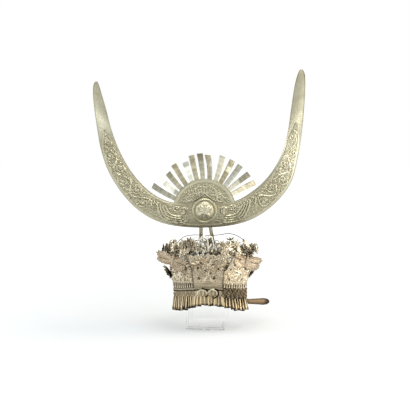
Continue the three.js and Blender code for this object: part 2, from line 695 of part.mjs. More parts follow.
function makeRay({ base, tip, reach, bend }, k) {
  const steps = 5;
  const strip = sheetGeometry(1, steps, (i, j, back) => {
    const share = j / steps;
    const radius = lerp(RAY.baseRadius, reach, share);
    const bearing = rad(lerp(base, tip, share ** 1.4));
    const side = (i - 0.5) * lerp(RAY.baseWidth, RAY.tipWidth, share);
    const beyond = Math.max(0, radius - RAY.bendFrom) / (reach - RAY.bendFrom);
    return new THREE.Vector3(
      radius * Math.sin(bearing) + side * Math.cos(bearing),
      RAY.y + bend * beyond ** 2 + back * SHEET,
      radius * Math.cos(bearing) - side * Math.sin(bearing),
    );
  });
  return named(`ray_${String(k + 1).padStart(2, "0")}`, strip, SILVER);
}

function makeBoss() {
  const { radius, rope, dome, domeRadius } = BOSS;
  const profile = [
    [0, 0],
    [radius, 0],
    [radius, rope * 0.5],
    [radius - rope, rope],
    [domeRadius, rope * 0.5],
    [domeRadius * 0.84, dome * 0.52],
    [domeRadius * 0.46, dome * 0.88],
    [0, dome],
  ].map(([r, height]) => new THREE.Vector2(r, height));
  const boss = new THREE.LatheGeometry(profile, 18).rotateX(Math.PI);
  return named("boss", boss.translate(0, -HORN.dome - GAP, 0), SILVER);
}

// Two posts and the strip across the crown that they are soldered to, in the part's own frame.
function makeMount() {
  const stripZ = STAND.height + GAP;
  const middleY = MOUNT.postY + MOUNT.postThickness / 2;
  const reach = ringPoint(90).x + WIRE / 2;
  const strip = new THREE.BoxGeometry(2 * reach, MOUNT.stripWidth, MOUNT.stripThickness).translate(
    CROWN.centreX,
    middleY,
    stripZ + MOUNT.stripThickness / 2,
  );
  const post = (footX, topX, topZ) => {
    const half = MOUNT.postWidth / 2;
    const shape = new THREE.Shape([
      new THREE.Vector2(footX - half, stripZ + 0.5),
      new THREE.Vector2(footX + half, stripZ + 0.5),
      new THREE.Vector2(topX + half, topZ),
      new THREE.Vector2(topX - half, topZ),
    ]);
    return uprightPlate(shape, MOUNT.postY, MOUNT.postThickness);
  };
  return named("horn_mount", fuse(strip, post(-14.7, -14.7, 248), post(19.2, 0.3, 248)), DARK_SILVER);
}

function makeStand() {
  const { width, height, wall, yaw } = STAND;
  const block = new THREE.BoxGeometry(width, width, height).translate(0, 0, height / 2);
  const hollow = new THREE.BoxGeometry(width - 2 * wall, width, height - 2 * wall).translate(
    0,
    wall,
    height / 2,
  );
  const stand = named("stand", cut(block, [hollow]), ACRYLIC);
  stand.rotation.z = rad(yaw);
  return stand;
}

// Assembly
const horns = new THREE.Group();
horns.position.set(HORN.bossX, 0, HORN.bossZ);
horns.add(makeHorn(), makeHalfDisc(), makeBoss(), ...RAYS.map(makeRay));

const crown = new THREE.Group();
crown.position.x = CROWN.centreX;
crown.add(makeRim(), ...makePanels(), makeTopRing(), makeHoop(), makeSpray(), ...makeFringe());
crown.add(...FLOWERS.map(makeFlower), ...BUTTERFLIES.map(makeButterfly), ...SIDE_FLOWERS.map(makeSideFlower));

const headdress = new THREE.Group();
headdress.add(makeStand(), makeMount(), makeTongue(), crown, horns);

export default headdress;
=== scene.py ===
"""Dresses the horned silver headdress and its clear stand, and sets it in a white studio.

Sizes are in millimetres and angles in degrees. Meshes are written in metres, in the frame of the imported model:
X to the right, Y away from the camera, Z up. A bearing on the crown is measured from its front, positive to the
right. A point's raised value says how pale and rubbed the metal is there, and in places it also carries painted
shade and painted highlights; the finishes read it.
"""

from __future__ import annotations

import logging
import math
from collections.abc import Callable, Iterable, Sequence
from dataclasses import dataclass, field, replace
from enum import Enum

import bpy
import numpy as np
from mathutils import Matrix, Vector

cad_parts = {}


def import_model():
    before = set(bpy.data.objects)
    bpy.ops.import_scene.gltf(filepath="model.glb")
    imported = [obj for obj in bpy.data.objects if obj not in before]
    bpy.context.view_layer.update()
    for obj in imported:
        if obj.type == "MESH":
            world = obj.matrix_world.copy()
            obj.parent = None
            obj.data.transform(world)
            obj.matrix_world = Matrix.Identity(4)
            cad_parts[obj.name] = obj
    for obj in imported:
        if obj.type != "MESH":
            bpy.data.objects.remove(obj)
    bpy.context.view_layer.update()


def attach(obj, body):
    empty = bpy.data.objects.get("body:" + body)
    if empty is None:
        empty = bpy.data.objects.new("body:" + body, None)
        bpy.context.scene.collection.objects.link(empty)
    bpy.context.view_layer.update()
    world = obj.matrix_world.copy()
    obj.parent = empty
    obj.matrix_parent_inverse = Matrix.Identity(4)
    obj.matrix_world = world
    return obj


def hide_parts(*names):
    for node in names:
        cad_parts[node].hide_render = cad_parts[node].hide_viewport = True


Array = np.ndarray
Value = float | Array
Colour = tuple[float, float, float]
Table = tuple[tuple[float, ...], ...]
Holes = Callable[[Array, Array], Array]
Material = bpy.types.Material
Piece = bpy.types.Object

MM = 0.001
SHEET = 0.8
GAP = 0.3
WIRE = 2.4
WEAR_AND_PAINTED_LIGHT = "raised"
TONE = "tone"
WARM = "warm"
FRONT = Vector((0, -1, 0))
UP = Vector((0, 0, 1))

log = logging.getLogger("headdress")


class Side(Enum):
    """Which side of the headdress a piece is on, as the camera sees it."""

    LEFT = -1
    RIGHT = 1


class Motif(Enum):
    """The reliefs of the crown's plates."""

    TAIL = "tail"
    GARLAND = "garland"


class Bloom(Enum):
    """The shapes of the wired flowers."""

    STAR = "star"
    ROSE = "rose"
    LILY = "lily"


class Hang(Enum):
    """What the drops of a run hang on."""

    CHAINS = "chains"
    LOOPS = "loops"
    NET = "net"


class Slot(Enum):
    """The record's material slots."""

    SILVER = "silver"
    DARK = "dark_silver"
    LEATHER = "leather"
    ACRYLIC = "clear_acrylic"


# Small sums


def lerp(a: Value, b: Value, share: Value) -> Value:
    """Goes from a to b by a share."""
    return a + (b - a) * share


def ease(value: Value, low: float, high: float) -> Array:
    """Runs smoothly from 0 at low to 1 at high."""
    t = np.clip((np.asarray(value, float) - low) / (high - low), 0, 1)
    return t * t * (3 - 2 * t)


def bump(distance: Value, width: float) -> Value:
    """A soft ridge, 1 at no distance, that has faded at about twice its width."""
    return np.exp(-((distance / width) ** 2))


def cosd(angle: float) -> float:
    """Gives an angle's cosine."""
    return math.cos(math.radians(angle))


def sind(angle: float) -> float:
    """Gives an angle's sine."""
    return math.sin(math.radians(angle))


def columns(*parts: Value) -> Array:
    """Sets numbers or arrays side by side as the columns of a table of points."""
    return np.stack(np.broadcast_arrays(*[np.asarray(p, float) for p in parts]), axis=-1)


def lengths(path: Array) -> Array:
    """Measures how far along a line of points each point is."""
    return np.concatenate([[0], np.cumsum(np.linalg.norm(np.diff(path, axis=0), axis=1))])


def read_rows(table: Array, marks: Array, at: Value) -> Array:
    """Reads a table between its rows, which stand at marks."""
    return columns(*(np.interp(at, marks, column) for column in table.T))


def smooth_path(points: Sequence[Sequence[float]] | Array, share: Array) -> Array:
    """Follows a centripetal curve through points.

    Args:
        points: The points that the curve passes through, one a row.
        share: How far along the curve, from 0 to 1, by number of points.

    Returns:
        A point a row for each share.
    """
    points = np.asarray(points, float)
    padded = np.vstack([2 * points[0] - points[1], points, 2 * points[-1] - points[-2]])
    spans = len(points) - 1
    along = np.clip(np.asarray(share, float), 0, 1) * spans
    k = np.minimum(along.astype(int), spans - 1)
    t = (along - k)[:, None]
    p0, p1, p2, p3 = (padded[k + i] for i in range(4))
    d0, d1, d2 = (np.sqrt(np.linalg.norm(b - a, axis=1))[:, None] for a, b in ((p0, p1), (p1, p2), (p2, p3)))
    m1 = ((p1 - p0) / d0 - (p2 - p0) / (d0 + d1) + (p2 - p1) / d1) * d1
    m2 = ((p2 - p1) / d1 - (p3 - p1) / (d1 + d2) + (p3 - p2) / d2) * d1
    return p1 + m1 * t + (3 * (p2 - p1) - 2 * m1 - m2) * t**2 + (2 * (p1 - p2) + m1 + m2) * t**3


def turned_to(direction: Vector, place: Vector, spin: float = 0.0, size: float = 1.0) -> Matrix:
    """Gives the matrix that turns +Z along a direction, after a spin about +Z, and moves it to a place."""
    turn = UP.rotation_difference(direction).to_matrix().to_4x4()
    return Matrix.Translation(place) @ turn @ Matrix.Rotation(spin, 4, "Z") @ Matrix.Scale(size, 4)


def laid_along(way: Vector, place: Sequence[float], size: float) -> Matrix:
    """Gives the matrix that lays +X along a way, face up, and moves it to a place."""
    turn = way.normalized().to_track_quat("X", "Z").to_matrix().to_4x4()
    return Matrix.Translation(place) @ turn @ Matrix.Scale(size, 4)


def compass(bearing: float) -> tuple[Vector, Vector]:
    """Gives the level directions outwards and across at a bearing."""
    s, c = sind(bearing), cosd(bearing)
    return Vector((s, -c, 0)), Vector((c, s, 0))


def tilted(outwards: Vector, angle: float) -> Vector:
    """Gives a direction that leans outwards from straight up."""
    return outwards * sind(angle) + UP * cosd(angle)


# Repoussé relief


@dataclass(frozen=True)
class Stroke:
    """One rounded ridge hammered along a line, in flat millimetres on the sheet."""

    path: Array
    radius: float
    height: float
    end_radius: float | None = None

    def raise_on(self, points: Array, heights: Array) -> None:
        """Lifts the heights of the flat points that lie under the stroke.

        Args:
            points: The flat points, one a row.
            heights: Their heights, which are changed.
        """
        low, high = self.path.min(0) - self.radius, self.path.max(0) + self.radius
        near = np.flatnonzero(((points >= low) & (points <= high)).all(1))
        if not len(near):
            return
        start, step = self.path[:-1], np.diff(self.path, axis=0)
        length2 = np.maximum((step**2).sum(1), 1e-9)
        away = points[near][:, None, :] - start[None]
        t = np.clip((away * step).sum(2) / length2, 0, 1)
        gaps = ((away - t[..., None] * step) ** 2).sum(2)
        best, row = gaps.argmin(1), np.arange(len(near))
        along = (best + t[row, best]) / len(start)
        width = lerp(self.radius, self.radius if self.end_radius is None else self.end_radius, along)
        crest = np.clip(1 - gaps[row, best] / width**2, 0, 1) ** 0.7
        heights[near] = np.maximum(heights[near], self.height * crest * (width / self.radius) ** 0.5)


def curl(x: float, y: float, radius: float, start: float, hand: int = 1, turns: float = 1.5) -> Array:
    """Draws a spiral line that winds in from its rim to its eye.

    Args:
        x: The eye's place across.
        y: The eye's place up.
        radius: How large the spiral is.
        start: The angle at which its rim begins.
        hand: 1 if it winds to the left, or -1.
        turns: How often it goes round.

    Returns:
        The line's points.
    """
    t = np.linspace(0, 1, 26)
    reach = radius * (1 - 0.86 * t)
    angle = math.radians(start) + hand * 2 * math.pi * turns * t
    return columns(x + reach * np.cos(angle), y + reach * np.sin(angle))


def dash(x: float, y: float, length: float, angle: float, bend: float = 0.0) -> Array:
    """Draws a short line.

    Args:
        x: Where it starts across.
        y: Where it starts up.
        length: How long it is.
        angle: Where it points.
        bend: How far it bows to one side, as a share of its length.

    Returns:
        The line's points.
    """
    t = np.linspace(0, 1, 8)
    side, c, s = bend * length * 4 * t * (1 - t), cosd(angle), sind(angle)
    return columns(x + length * t * c - side * s, y + length * t * s + side * c)


def bead(x: float, y: float, radius: float, height: float) -> Stroke:
    """Draws a round pearl."""
    return Stroke(np.array([[x, y], [x + 1e-3, y]]), radius, height)


def blossom(x: float, y: float, radius: float, height: float, petals: int = 6, turn: float = 0.0) -> list[Stroke]:
    """Draws a small flower seen from the front: a pearl with petals round it.

    Args:
        x: Its place across.
        y: Its place up.
        radius: How large it is.
        height: How far it is raised.
        petals: How many petals it has.
        turn: The angle of its first petal.

    Returns:
        The pearl and the petals.
    """
    strokes = [bead(x, y, radius * 0.34, height)]
    foot = radius * 0.42
    for angle in turn + 360 * np.arange(petals) / petals:
        line = dash(x + foot * cosd(angle), y + foot * sind(angle), radius * 0.46, angle)
        strokes.append(Stroke(line, radius * 0.27, height * 0.85))
    return strokes


def litter(places: Iterable[tuple[float, float, float]], seed: int, swing: float = 180.0) -> list[Stroke]:
    """Scatters small bent leaves.

    Args:
        places: Each leaf's place, and the angle that it lies about.
        seed: Starts the random draws.
        swing: How far its angle may stray.

    Returns:
        A stroke for each leaf.
    """
    chance = np.random.default_rng(seed)
    strokes = []
    for x, y, angle in places:
        dx, dy = chance.uniform(-1.5, 1.5, 2)
        turn, long, bend = chance.uniform(-swing, swing), chance.uniform(4.2, 7.6), chance.uniform(-0.3, 0.3)
        line = dash(x + dx, y + dy, long, angle + turn, bend)
        strokes.append(Stroke(line, chance.uniform(1.1, 1.6), chance.uniform(1.1, 2.0), 0.6))
    return strokes


def relief(points: Array, strokes: Iterable[Stroke]) -> Array:
    """Gives the height of a field of strokes at flat points.

    Args:
        points: The flat points, one a row.
        strokes: The strokes.

    Returns:
        A height for each point.
    """
    heights = np.zeros(len(points))
    for stroke in strokes:
        stroke.raise_on(points, heights)
    return heights


# Meshes


def deselect() -> None:
    """Leaves edit mode and selects nothing."""
    active = bpy.context.view_layer.objects.active
    if active and active.mode != "OBJECT":
        bpy.ops.object.mode_set(mode="OBJECT")
    bpy.ops.object.select_all(action="DESELECT")


def pick(obj: Piece) -> None:
    """Makes one object the only selected and the active one."""
    deselect()
    obj.select_set(True)
    bpy.context.view_layer.objects.active = obj


def add_object(name: str, operator: Callable[..., object], **settings: object) -> Piece:
    """Adds one object with nothing else selected.

    Args:
        name: Its name, and its mesh's.
        operator: What adds it.
        settings: What the operator is told.

    Returns:
        The new object.
    """
    deselect()
    operator(**settings)
    obj = bpy.context.view_layer.objects.active
    obj.name = obj.data.name = name
    return obj


def read_points(obj: Piece) -> Array:
    """Gives a mesh's points as rows, as they stand in the mesh."""
    co = np.empty(len(obj.data.vertices) * 3, np.float32)
    obj.data.vertices.foreach_get("co", co)
    return co.reshape(-1, 3).astype(float)


def write_points(obj: Piece, points: Array) -> None:
    """Moves a mesh's points to places in millimetres."""
    obj.data.vertices.foreach_set("co", (points * MM).astype(np.float32).ravel())
    obj.data.update()


def read_faces(obj: Piece, what: str, width: int) -> Array:
    """Gives a value of each face, such as its normal, as rows."""
    values = np.empty(len(obj.data.polygons) * width, np.float32)
    obj.data.polygons.foreach_get(what, values)
    return values.reshape(-1, width)


def paint(obj: Piece, values: Value, name: str = WEAR_AND_PAINTED_LIGHT) -> None:
    """Writes a value to each point of a mesh for its material to read.

    Args:
        obj: The piece.
        values: One value for all points, or one for each.
        name: The attribute that takes them.
    """
    mesh = obj.data
    attribute = mesh.attributes.get(name) or mesh.attributes.new(name, "FLOAT", "POINT")
    full = np.broadcast_to(np.asarray(values, np.float32), len(mesh.vertices))
    attribute.data.foreach_set("value", np.ascontiguousarray(full))


def apply_modifier(obj: Piece, kind: str, **settings: object) -> None:
    """Adds a modifier, sets it and applies it.

    Args:
        obj: The piece.
        kind: The modifier's type.
        settings: What it is set to.
    """
    pick(obj)
    modifier = obj.modifiers.new(kind.lower(), kind)
    for key, value in settings.items():
        setattr(modifier, key, value)
    bpy.ops.object.modifier_apply(modifier=modifier.name)


def round_edges(obj: Piece, width: float, segments: int = 2) -> None:
    """Bevels a piece's sharp edges."""
    apply_modifier(obj, "BEVEL", width=width * MM, segments=segments, limit_method="ANGLE")


def in_edit_mode(obj: Piece, operator: Callable[..., object], **settings: object) -> None:
    """Runs an edit-mode operator on the whole of a mesh.

    Args:
        obj: The piece.
        operator: What is run.
        settings: What the operator is told.
    """
    pick(obj)
    bpy.ops.object.mode_set(mode="EDIT")
    bpy.ops.mesh.select_all(action="SELECT")
    operator(**settings)
    bpy.ops.object.mode_set(mode="OBJECT")


def merge_doubles(obj: Piece) -> None:
    """Closes seams and poles."""
    in_edit_mode(obj, bpy.ops.mesh.remove_doubles, threshold=2e-5)


def turn_outwards(obj: Piece) -> None:
    """Points the faces of a closed mesh outwards."""
    in_edit_mode(obj, bpy.ops.mesh.normals_make_consistent, inside=False)


def face_towards(obj: Piece, front: Vector) -> None:
    """Turns an open sheet's faces to the side that a direction names."""
    if (read_faces(obj, "normal", 3) * read_faces(obj, "area", 1)).sum(0) @ np.array(front) < 0:
        in_edit_mode(obj, bpy.ops.mesh.flip_normals)


def cut_faces(obj: Piece, chosen: Array) -> None:
    """Deletes the faces that an array of truths chooses.

    Args:
        obj: The piece.
        chosen: A truth for each face.
    """
    pick(obj)
    bpy.ops.object.mode_set(mode="EDIT")
    bpy.ops.mesh.select_all(action="DESELECT")
    bpy.ops.mesh.select_mode(type="FACE")
    bpy.ops.object.mode_set(mode="OBJECT")
    obj.data.polygons.foreach_set("select", chosen)
    bpy.ops.object.mode_set(mode="EDIT")
    bpy.ops.mesh.delete(type="FACE")
    bpy.ops.mesh.select_mode(type="VERT")
    bpy.ops.object.mode_set(mode="OBJECT")


def soften(obj: Piece, angle: float = 40.0) -> Piece:
    """Shades a mesh smooth except across sharp edges."""
    pick(obj)
    bpy.ops.object.shade_smooth_by_angle(angle=math.radians(angle))
    return obj


@dataclass
class Sheet:
    """A flat grid, from -1 to 1 each way, that is shaped into a thin sheet of metal or a closed body."""

    obj: Piece
    x: Array
    y: Array

    @classmethod
    def lay(cls, name: str, size: tuple[int, int], holes: Holes | None = None) -> Sheet:
        """Lays out the grid.

        Args:
            name: The piece's name.
            size: Its faces across and along.
            holes: Says which places on the flat grid are cut away.

        Returns:
            The grid with its flat points.
        """
        across, along = size
        grid = {"x_subdivisions": across, "y_subdivisions": along, "size": 2}
        obj = add_object(name, bpy.ops.mesh.primitive_grid_add, **grid)
        if holes:
            cut_faces(obj, holes(*read_faces(obj, "center", 3)[:, :2].T))
        return cls(obj, *read_points(obj)[:, :2].T)

    @property
    def share(self) -> Array:
        """Says how far along the grid each point is, from 0 to 1."""
        return (self.y + 1) / 2

    def shape(
        self,
        points: Array,
        raised: Value,
        front: Vector = FRONT,
        thickness: float = SHEET,
        closed: bool = False,
        bevel: float = 0.0,
    ) -> Piece:
        """Moves the grid's points and finishes the piece.

        Args:
            points: The points in millimetres.
            raised: How raised each is.
            front: The side that a sheet's face looks to.
            thickness: The metal's thickness, added behind the face, or 0 for a closed body.
            closed: Merges the grid's edges where they meet.
            bevel: How far the edges are rounded.

        Returns:
            The finished piece.
        """
        write_points(self.obj, points)
        paint(self.obj, raised)
        if closed:
            merge_doubles(self.obj)
        if thickness:
            face_towards(self.obj, front)
            apply_modifier(self.obj, "SOLIDIFY", thickness=thickness * MM, offset=-1.0)
        else:
            turn_outwards(self.obj)
        if bevel:
            round_edges(self.obj, bevel)
        return soften(self.obj)


def draw_wire(path: Array, radius: float, sides: int = 8, closed: bool = False, name: str = "wire") -> Piece:
    """Makes a round wire.

    Args:
        path: The points of its middle line, one a row.
        radius: Its radius.
        sides: How many faces go round it.
        closed: Joins its ends.
        name: The piece's name.

    Returns:
        The wire.
    """
    curve = bpy.data.curves.new(name, "CURVE")
    curve.dimensions = "3D"
    curve.bevel_depth = radius * MM
    curve.bevel_resolution = (sides - 4) // 2
    curve.use_fill_caps = not closed
    line = curve.splines.new("POLY")
    line.points.add(len(path) - 1)
    line.points.foreach_set("co", columns(*(path.T * MM), 1.0).astype(np.float32).ravel())
    line.use_cyclic_u = closed
    obj = bpy.data.objects.new(name, curve)
    bpy.context.scene.collection.objects.link(obj)
    pick(obj)
    bpy.ops.object.convert(target="MESH")
    obj = bpy.context.view_layer.objects.active
    obj.name = obj.data.name = name
    merge_doubles(obj)
    turn_outwards(obj)
    paint(obj, 0.6)
    return soften(obj, 60)


@dataclass
class Stamp:
    """A small modelled shape, kept as points in millimetres and faces, to be copied into larger meshes."""

    points: Array
    faces: list[tuple[int, ...]]
    raised: Array

    @classmethod
    def take(cls, obj: Piece) -> Stamp:
        """Reads a modelled object and removes it.

        Args:
            obj: The object.

        Returns:
            Its shape.
        """
        mesh = obj.data
        raised = np.empty(len(mesh.vertices), np.float32)
        mesh.attributes[WEAR_AND_PAINTED_LIGHT].data.foreach_get("value", raised)
        stamp = cls(read_points(obj) / MM, [tuple(p.vertices) for p in mesh.polygons], raised)
        bpy.data.objects.remove(obj)
        bpy.data.meshes.remove(mesh)
        return stamp


@dataclass
class Heap:
    """Gathers copies of stamps into one mesh."""

    points: list[Array] = field(default_factory=list)
    faces: list[tuple[int, ...]] = field(default_factory=list)
    raised: list[Array] = field(default_factory=list)
    count: int = 0

    def add(self, stamp: Stamp, pose: Matrix | None = None, raised: float = 0.0) -> None:
        """Adds a copy of a stamp.

        Args:
            stamp: The shape.
            pose: Moves the copy.
            raised: Shifts its raised values.
        """
        m = np.array(pose or Matrix())
        self.points.append(stamp.points @ m[:3, :3].T + m[:3, 3])
        self.faces.extend(tuple(i + self.count for i in face) for face in stamp.faces)
        self.raised.append(stamp.raised + raised)
        self.count += len(stamp.points)

    def wire(self, path: Array, radius: float, sides: int, raised: float, pose: Matrix | None = None) -> None:
        """Adds a wire along a line of points, with its raised values shifted."""
        self.add(Stamp.take(draw_wire(path, radius, sides)), pose, raised)

    def whorl(self, petal: Stamp, sizes: Sequence[float], pose: tuple[Vector, Vector, float], raised: float) -> None:
        """Adds petals all round a heart.

        Args:
            petal: The shape.
            sizes: Each petal's size.
            pose: Where the heart looks, its place and the first petal's spin.
            raised: Shifts the petals' raised values.
        """
        looks, place, spin = pose
        for k, size in enumerate(sizes):
            self.add(petal, turned_to(looks, place, spin + 2 * math.pi * k / len(sizes), size), raised)

    def make(self, name: str, angle: float = 40.0) -> Piece:
        """Makes the gathered copies one object.

        Args:
            name: Its name.
            angle: Edges that are sharper stay sharp.

        Returns:
            The object.
        """
        mesh = bpy.data.meshes.new(name)
        mesh.from_pydata((np.concatenate(self.points) * MM).tolist(), [], self.faces)
        obj = bpy.data.objects.new(name, mesh)
        bpy.context.scene.collection.objects.link(obj)
        paint(obj, np.concatenate(self.raised))
        return soften(obj, angle)


def settle(obj: Piece, material: Material, slot: Slot, *nodes: str) -> None:
    """Dresses a piece, fixes it to the headdress and hides the solids that it stands for.

    Args:
        obj: The piece.
        material: Its finish.
        slot: The record's slot for it; not used.
        nodes: The solids that it replaces.
    """
    obj.data.materials.clear()
    obj.data.materials.append(material)
    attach(obj, "root")
    if nodes:
        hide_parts(*nodes)
    log.info("%s: %d faces", obj.name, len(obj.data.polygons))


# Finishes


@dataclass(frozen=True)
class Term:
    """A socket's value, for writing shader sums."""

    graph: Graph
    socket: bpy.types.NodeSocket

    def _math(self, operation: str, left: Term | float, right: Term | float) -> Term:
        """Adds a Math node."""
        return self.graph.node("ShaderNodeMath", {"operation": operation}, {0: left, 1: right})

    def __add__(self, other: Term | float) -> Term:
        """Adds."""
        return self._math("ADD", self, other)

    def __sub__(self, other: Term | float) -> Term:
        """Takes away."""
        return self._math("SUBTRACT", self, other)

    def __rsub__(self, other: float) -> Term:
        """Takes away from a number."""
        return self._math("SUBTRACT", other, self)

    def __mul__(self, other: Term | float) -> Term:
        """Multiplies."""
        return self._math("MULTIPLY", self, other)

    __radd__, __rmul__ = __add__, __mul__

    def clamped(self) -> Term:
        """Keeps the value between 0 and 1."""
        return self.graph.node("ShaderNodeClamp", {}, {"Value": self})

    def above(self, low: float, high: float) -> Term:
        """Runs smoothly from 0 at low to 1 at high."""
        settings = {"interpolation_type": "SMOOTHSTEP"}
        return self.graph.node("ShaderNodeMapRange", settings, {"Value": self, "From Min": low, "From Max": high})


class Graph:
    """A node tree that is being written."""

    def __init__(self, tree: bpy.types.NodeTree) -> None:
        """Empties the tree."""
        self.tree = tree
        tree.nodes.clear()

    def node(
        self, kind: str, settings: dict[str, object], sockets: dict[str | int, object], out: str | int = 0
    ) -> Term:
        """Adds any node.

        Args:
            kind: The node's type.
            settings: The node's own settings, and a ramp's stops, which are set first.
            sockets: Values or terms for its inputs, by name or number.
            out: The output that is wanted.

        Returns:
            The wanted output.
        """
        node = self.tree.nodes.new(kind)
        for key, value in settings.items():
            if key == "stops":
                self._set_stops(node.color_ramp, value)
            else:
                setattr(node, key, value)
        for key, value in sockets.items():
            if isinstance(value, Term):
                self.tree.links.new(value.socket, node.inputs[key])
            else:
                node.inputs[key].default_value = value
        return Term(self, (node.outputs or node.inputs)[out])

    @staticmethod
    def _set_stops(ramp: bpy.types.ColorRamp, stops: Sequence[tuple[float, Colour]]) -> None:
        """Gives a colour ramp its stops.

        Args:
            ramp: The ramp.
            stops: Each stop's position and colour.
        """
        while len(ramp.elements) < len(stops):
            ramp.elements.new(1.0)
        for element, (position, colour) in zip(ramp.elements, stops, strict=True):
            element.position, element.color = position, (*colour, 1.0)

    def place(self) -> Term:
        """Gives the object coordinates."""
        return self.node("ShaderNodeTexCoord", {}, {}, "Object")

    def noise(self, scale: float, detail: float = 2.0, **more: float) -> Term:
        """Adds noise on the piece's own coordinates, with its scale in cells per metre."""
        sockets = {"Vector": self.place(), "Scale": scale, "Detail": detail}
        return self.node("ShaderNodeTexNoise", {}, {**sockets, **more}, "Fac")

    def attribute(self, name: str) -> Term:
        """Reads a value written to the mesh's points."""
        return self.node("ShaderNodeAttribute", {"attribute_name": name}, {}, "Fac")

    def mix(self, share: Term | float, a: Term | Colour, b: Term | Colour, blend: str = "MIX") -> Term:
        """Mixes two colours."""
        whole = [c if isinstance(c, Term) else (*c, 1.0) for c in (a, b)]
        settings = {"data_type": "RGBA", "blend_type": blend}
        return self.node("ShaderNodeMix", settings, {0: share, 6: whole[0], 7: whole[1]}, 2)

    def bumped(self, height: Term, strength: float, distance: float) -> Term:
        """Turns a height in millimetres into a normal."""
        sockets = {"Height": height, "Strength": strength, "Distance": distance * MM}
        return self.node("ShaderNodeBump", {}, sockets, "Normal")


@dataclass(frozen=True)
class Finish:
    """A finish, whose kinds say what feeds its shader."""

    name: str

    def sockets(self, g: Graph) -> dict[str, object]:
        """Gives values or terms for the shader's inputs."""
        raise NotImplementedError

    def make(self) -> Material:
        """Writes the material, which ends in one Principled shader.

        Returns:
            The material.
        """
        material = bpy.data.materials.new(self.name)
        material.use_nodes = True
        g = Graph(material.node_tree)
        shader = g.node("ShaderNodeBsdfPrincipled", {}, self.sockets(g), "BSDF")
        g.node("ShaderNodeOutputMaterial", {}, {"Surface": shader})
        return material


@dataclass(frozen=True)
class Silver(Finish):
    """Old worked silver: pale where it is raised and rubbed and where a highlight is painted, brown in the ground and
    where shade is painted, clouded all over.
    """

    pale: Colour
    ground: Colour
    stain: Colour
    stain_share: float = 0.35
    mottle: float = 0.5
    rough_pale: float = 0.3
    rough_ground: float = 0.55
    grain: float = 0.25
    metal: float = 1.0

    def sockets(self, g: Graph) -> dict[str, object]:
        """Gives values or terms for the shader's inputs.

        Args:
            g: The material's node tree.

        Returns:
            The inputs by name.
        """
        cloud, fine, pits = g.noise(26.0, 3.0) - 0.5, g.noise(330.0, 3.0), g.noise(1100.0)
        # sunk gives the ground colour both for patina in the hollows and for painted shade carried by the raised value
        sunk = (1.0 - g.attribute(WEAR_AND_PAINTED_LIGHT) + cloud * self.mottle + (fine - 0.5) * (self.mottle * 0.8)).clamped()
        patch = g.noise(60.0, 4.0, Distortion=0.6).above(0.52, 0.7) * self.stain_share
        return {
            "Base Color": g.mix(patch, g.mix(sunk, self.pale, self.ground), self.stain),
            "Metallic": self.metal,
            "Roughness": self.rough_pale + sunk * (self.rough_ground - self.rough_pale) + (fine - 0.5) * 0.18,
            "Normal": g.bumped(fine * 0.6 + pits * 0.4, self.grain, 0.5),
        }


@dataclass(frozen=True)
class RaySilver(Finish):
    """Thin beaten strips of silver, each with a tone and tint painted along it, partly its own tarnish and partly a
    painted reflection of the light that it mirrors, with scratches across them.
    """

    pale: Colour
    dull: Colour
    cool: Colour
    warm: Colour

    def sockets(self, g: Graph) -> dict[str, object]:
        """Gives values or terms for the shader's inputs.

        Args:
            g: The material's node tree.

        Returns:
            The inputs by name.
        """
        cloud, fine = g.noise(70.0, 4.0) - 0.5, g.noise(420.0, 3.0)
        rubbed = (g.attribute(WEAR_AND_PAINTED_LIGHT) - 0.6) * 0.4
        share = (g.attribute(TONE) + cloud * 0.5 + (fine - 0.5) * 0.3 + rubbed).clamped()
        tint = (g.attribute(WARM) + (g.noise(45.0) - 0.5) * 0.6).clamped()
        hue = g.mix(tint, self.cool, self.warm)
        return {
            "Base Color": g.mix(1.0, g.mix(share, self.dull, self.pale), hue, "MULTIPLY"),
            "Metallic": 1.0,
            "Roughness": 0.28 + (fine - 0.5) * 0.2 + (1.0 - share) * 0.16,
            "Normal": g.bumped(fine * 0.7 + g.noise(120.0, 1.0), 0.3, 0.8),
        }


@dataclass(frozen=True)
class Leather(Finish):
    """Oiled brown leather, dark and shiny along its edges, where the dark is painted shade, with a painted golden
    highlight along the middle.
    """

    edge: Colour
    middle: Colour

    def sockets(self, g: Graph) -> dict[str, object]:
        """Gives values or terms for the shader's inputs.

        Args:
            g: The material's node tree.

        Returns:
            The inputs by name.
        """
        grain = g.node("ShaderNodeTexVoronoi", {"feature": "F1"}, {"Vector": g.place(), "Scale": 900.0}, "Distance")
        cloud = g.noise(120.0, 3.0)
        share = (g.attribute(WEAR_AND_PAINTED_LIGHT) + (cloud - 0.5) * 0.6).clamped()
        return {
            "Base Color": g.mix(share, self.edge, self.middle),
            "Roughness": 0.42 + grain * 0.25 + (1.0 - share) * 0.05,
            "Normal": g.bumped(grain * 0.5 + cloud * 0.4, 0.5, 0.4),
        }


@dataclass(frozen=True)
class Acrylic(Finish):
    """Clear sheet, nearly unseen but for its cut edges, which are painted dark as shade, and a few fine scratches."""

    tint: Colour
    face_cover: float
    shaded_edge_cover: float

    def sockets(self, g: Graph) -> dict[str, object]:
        """Gives values or terms for the shader's inputs.

        Args:
            g: The material's node tree.

        Returns:
            The inputs by name.
        """
        scratch = g.noise(40.0, 5.0).above(0.5, 0.75)
        edge = g.attribute(WEAR_AND_PAINTED_LIGHT) * g.noise(75.0).above(0.4, 0.56)
        return {
            "Base Color": (*self.tint, 1.0),
            "Roughness": 0.06 + scratch * 0.12,
            "Alpha": self.face_cover + edge * (self.shaded_edge_cover - self.face_cover) + scratch * self.face_cover,
            "IOR": 1.49,
        }


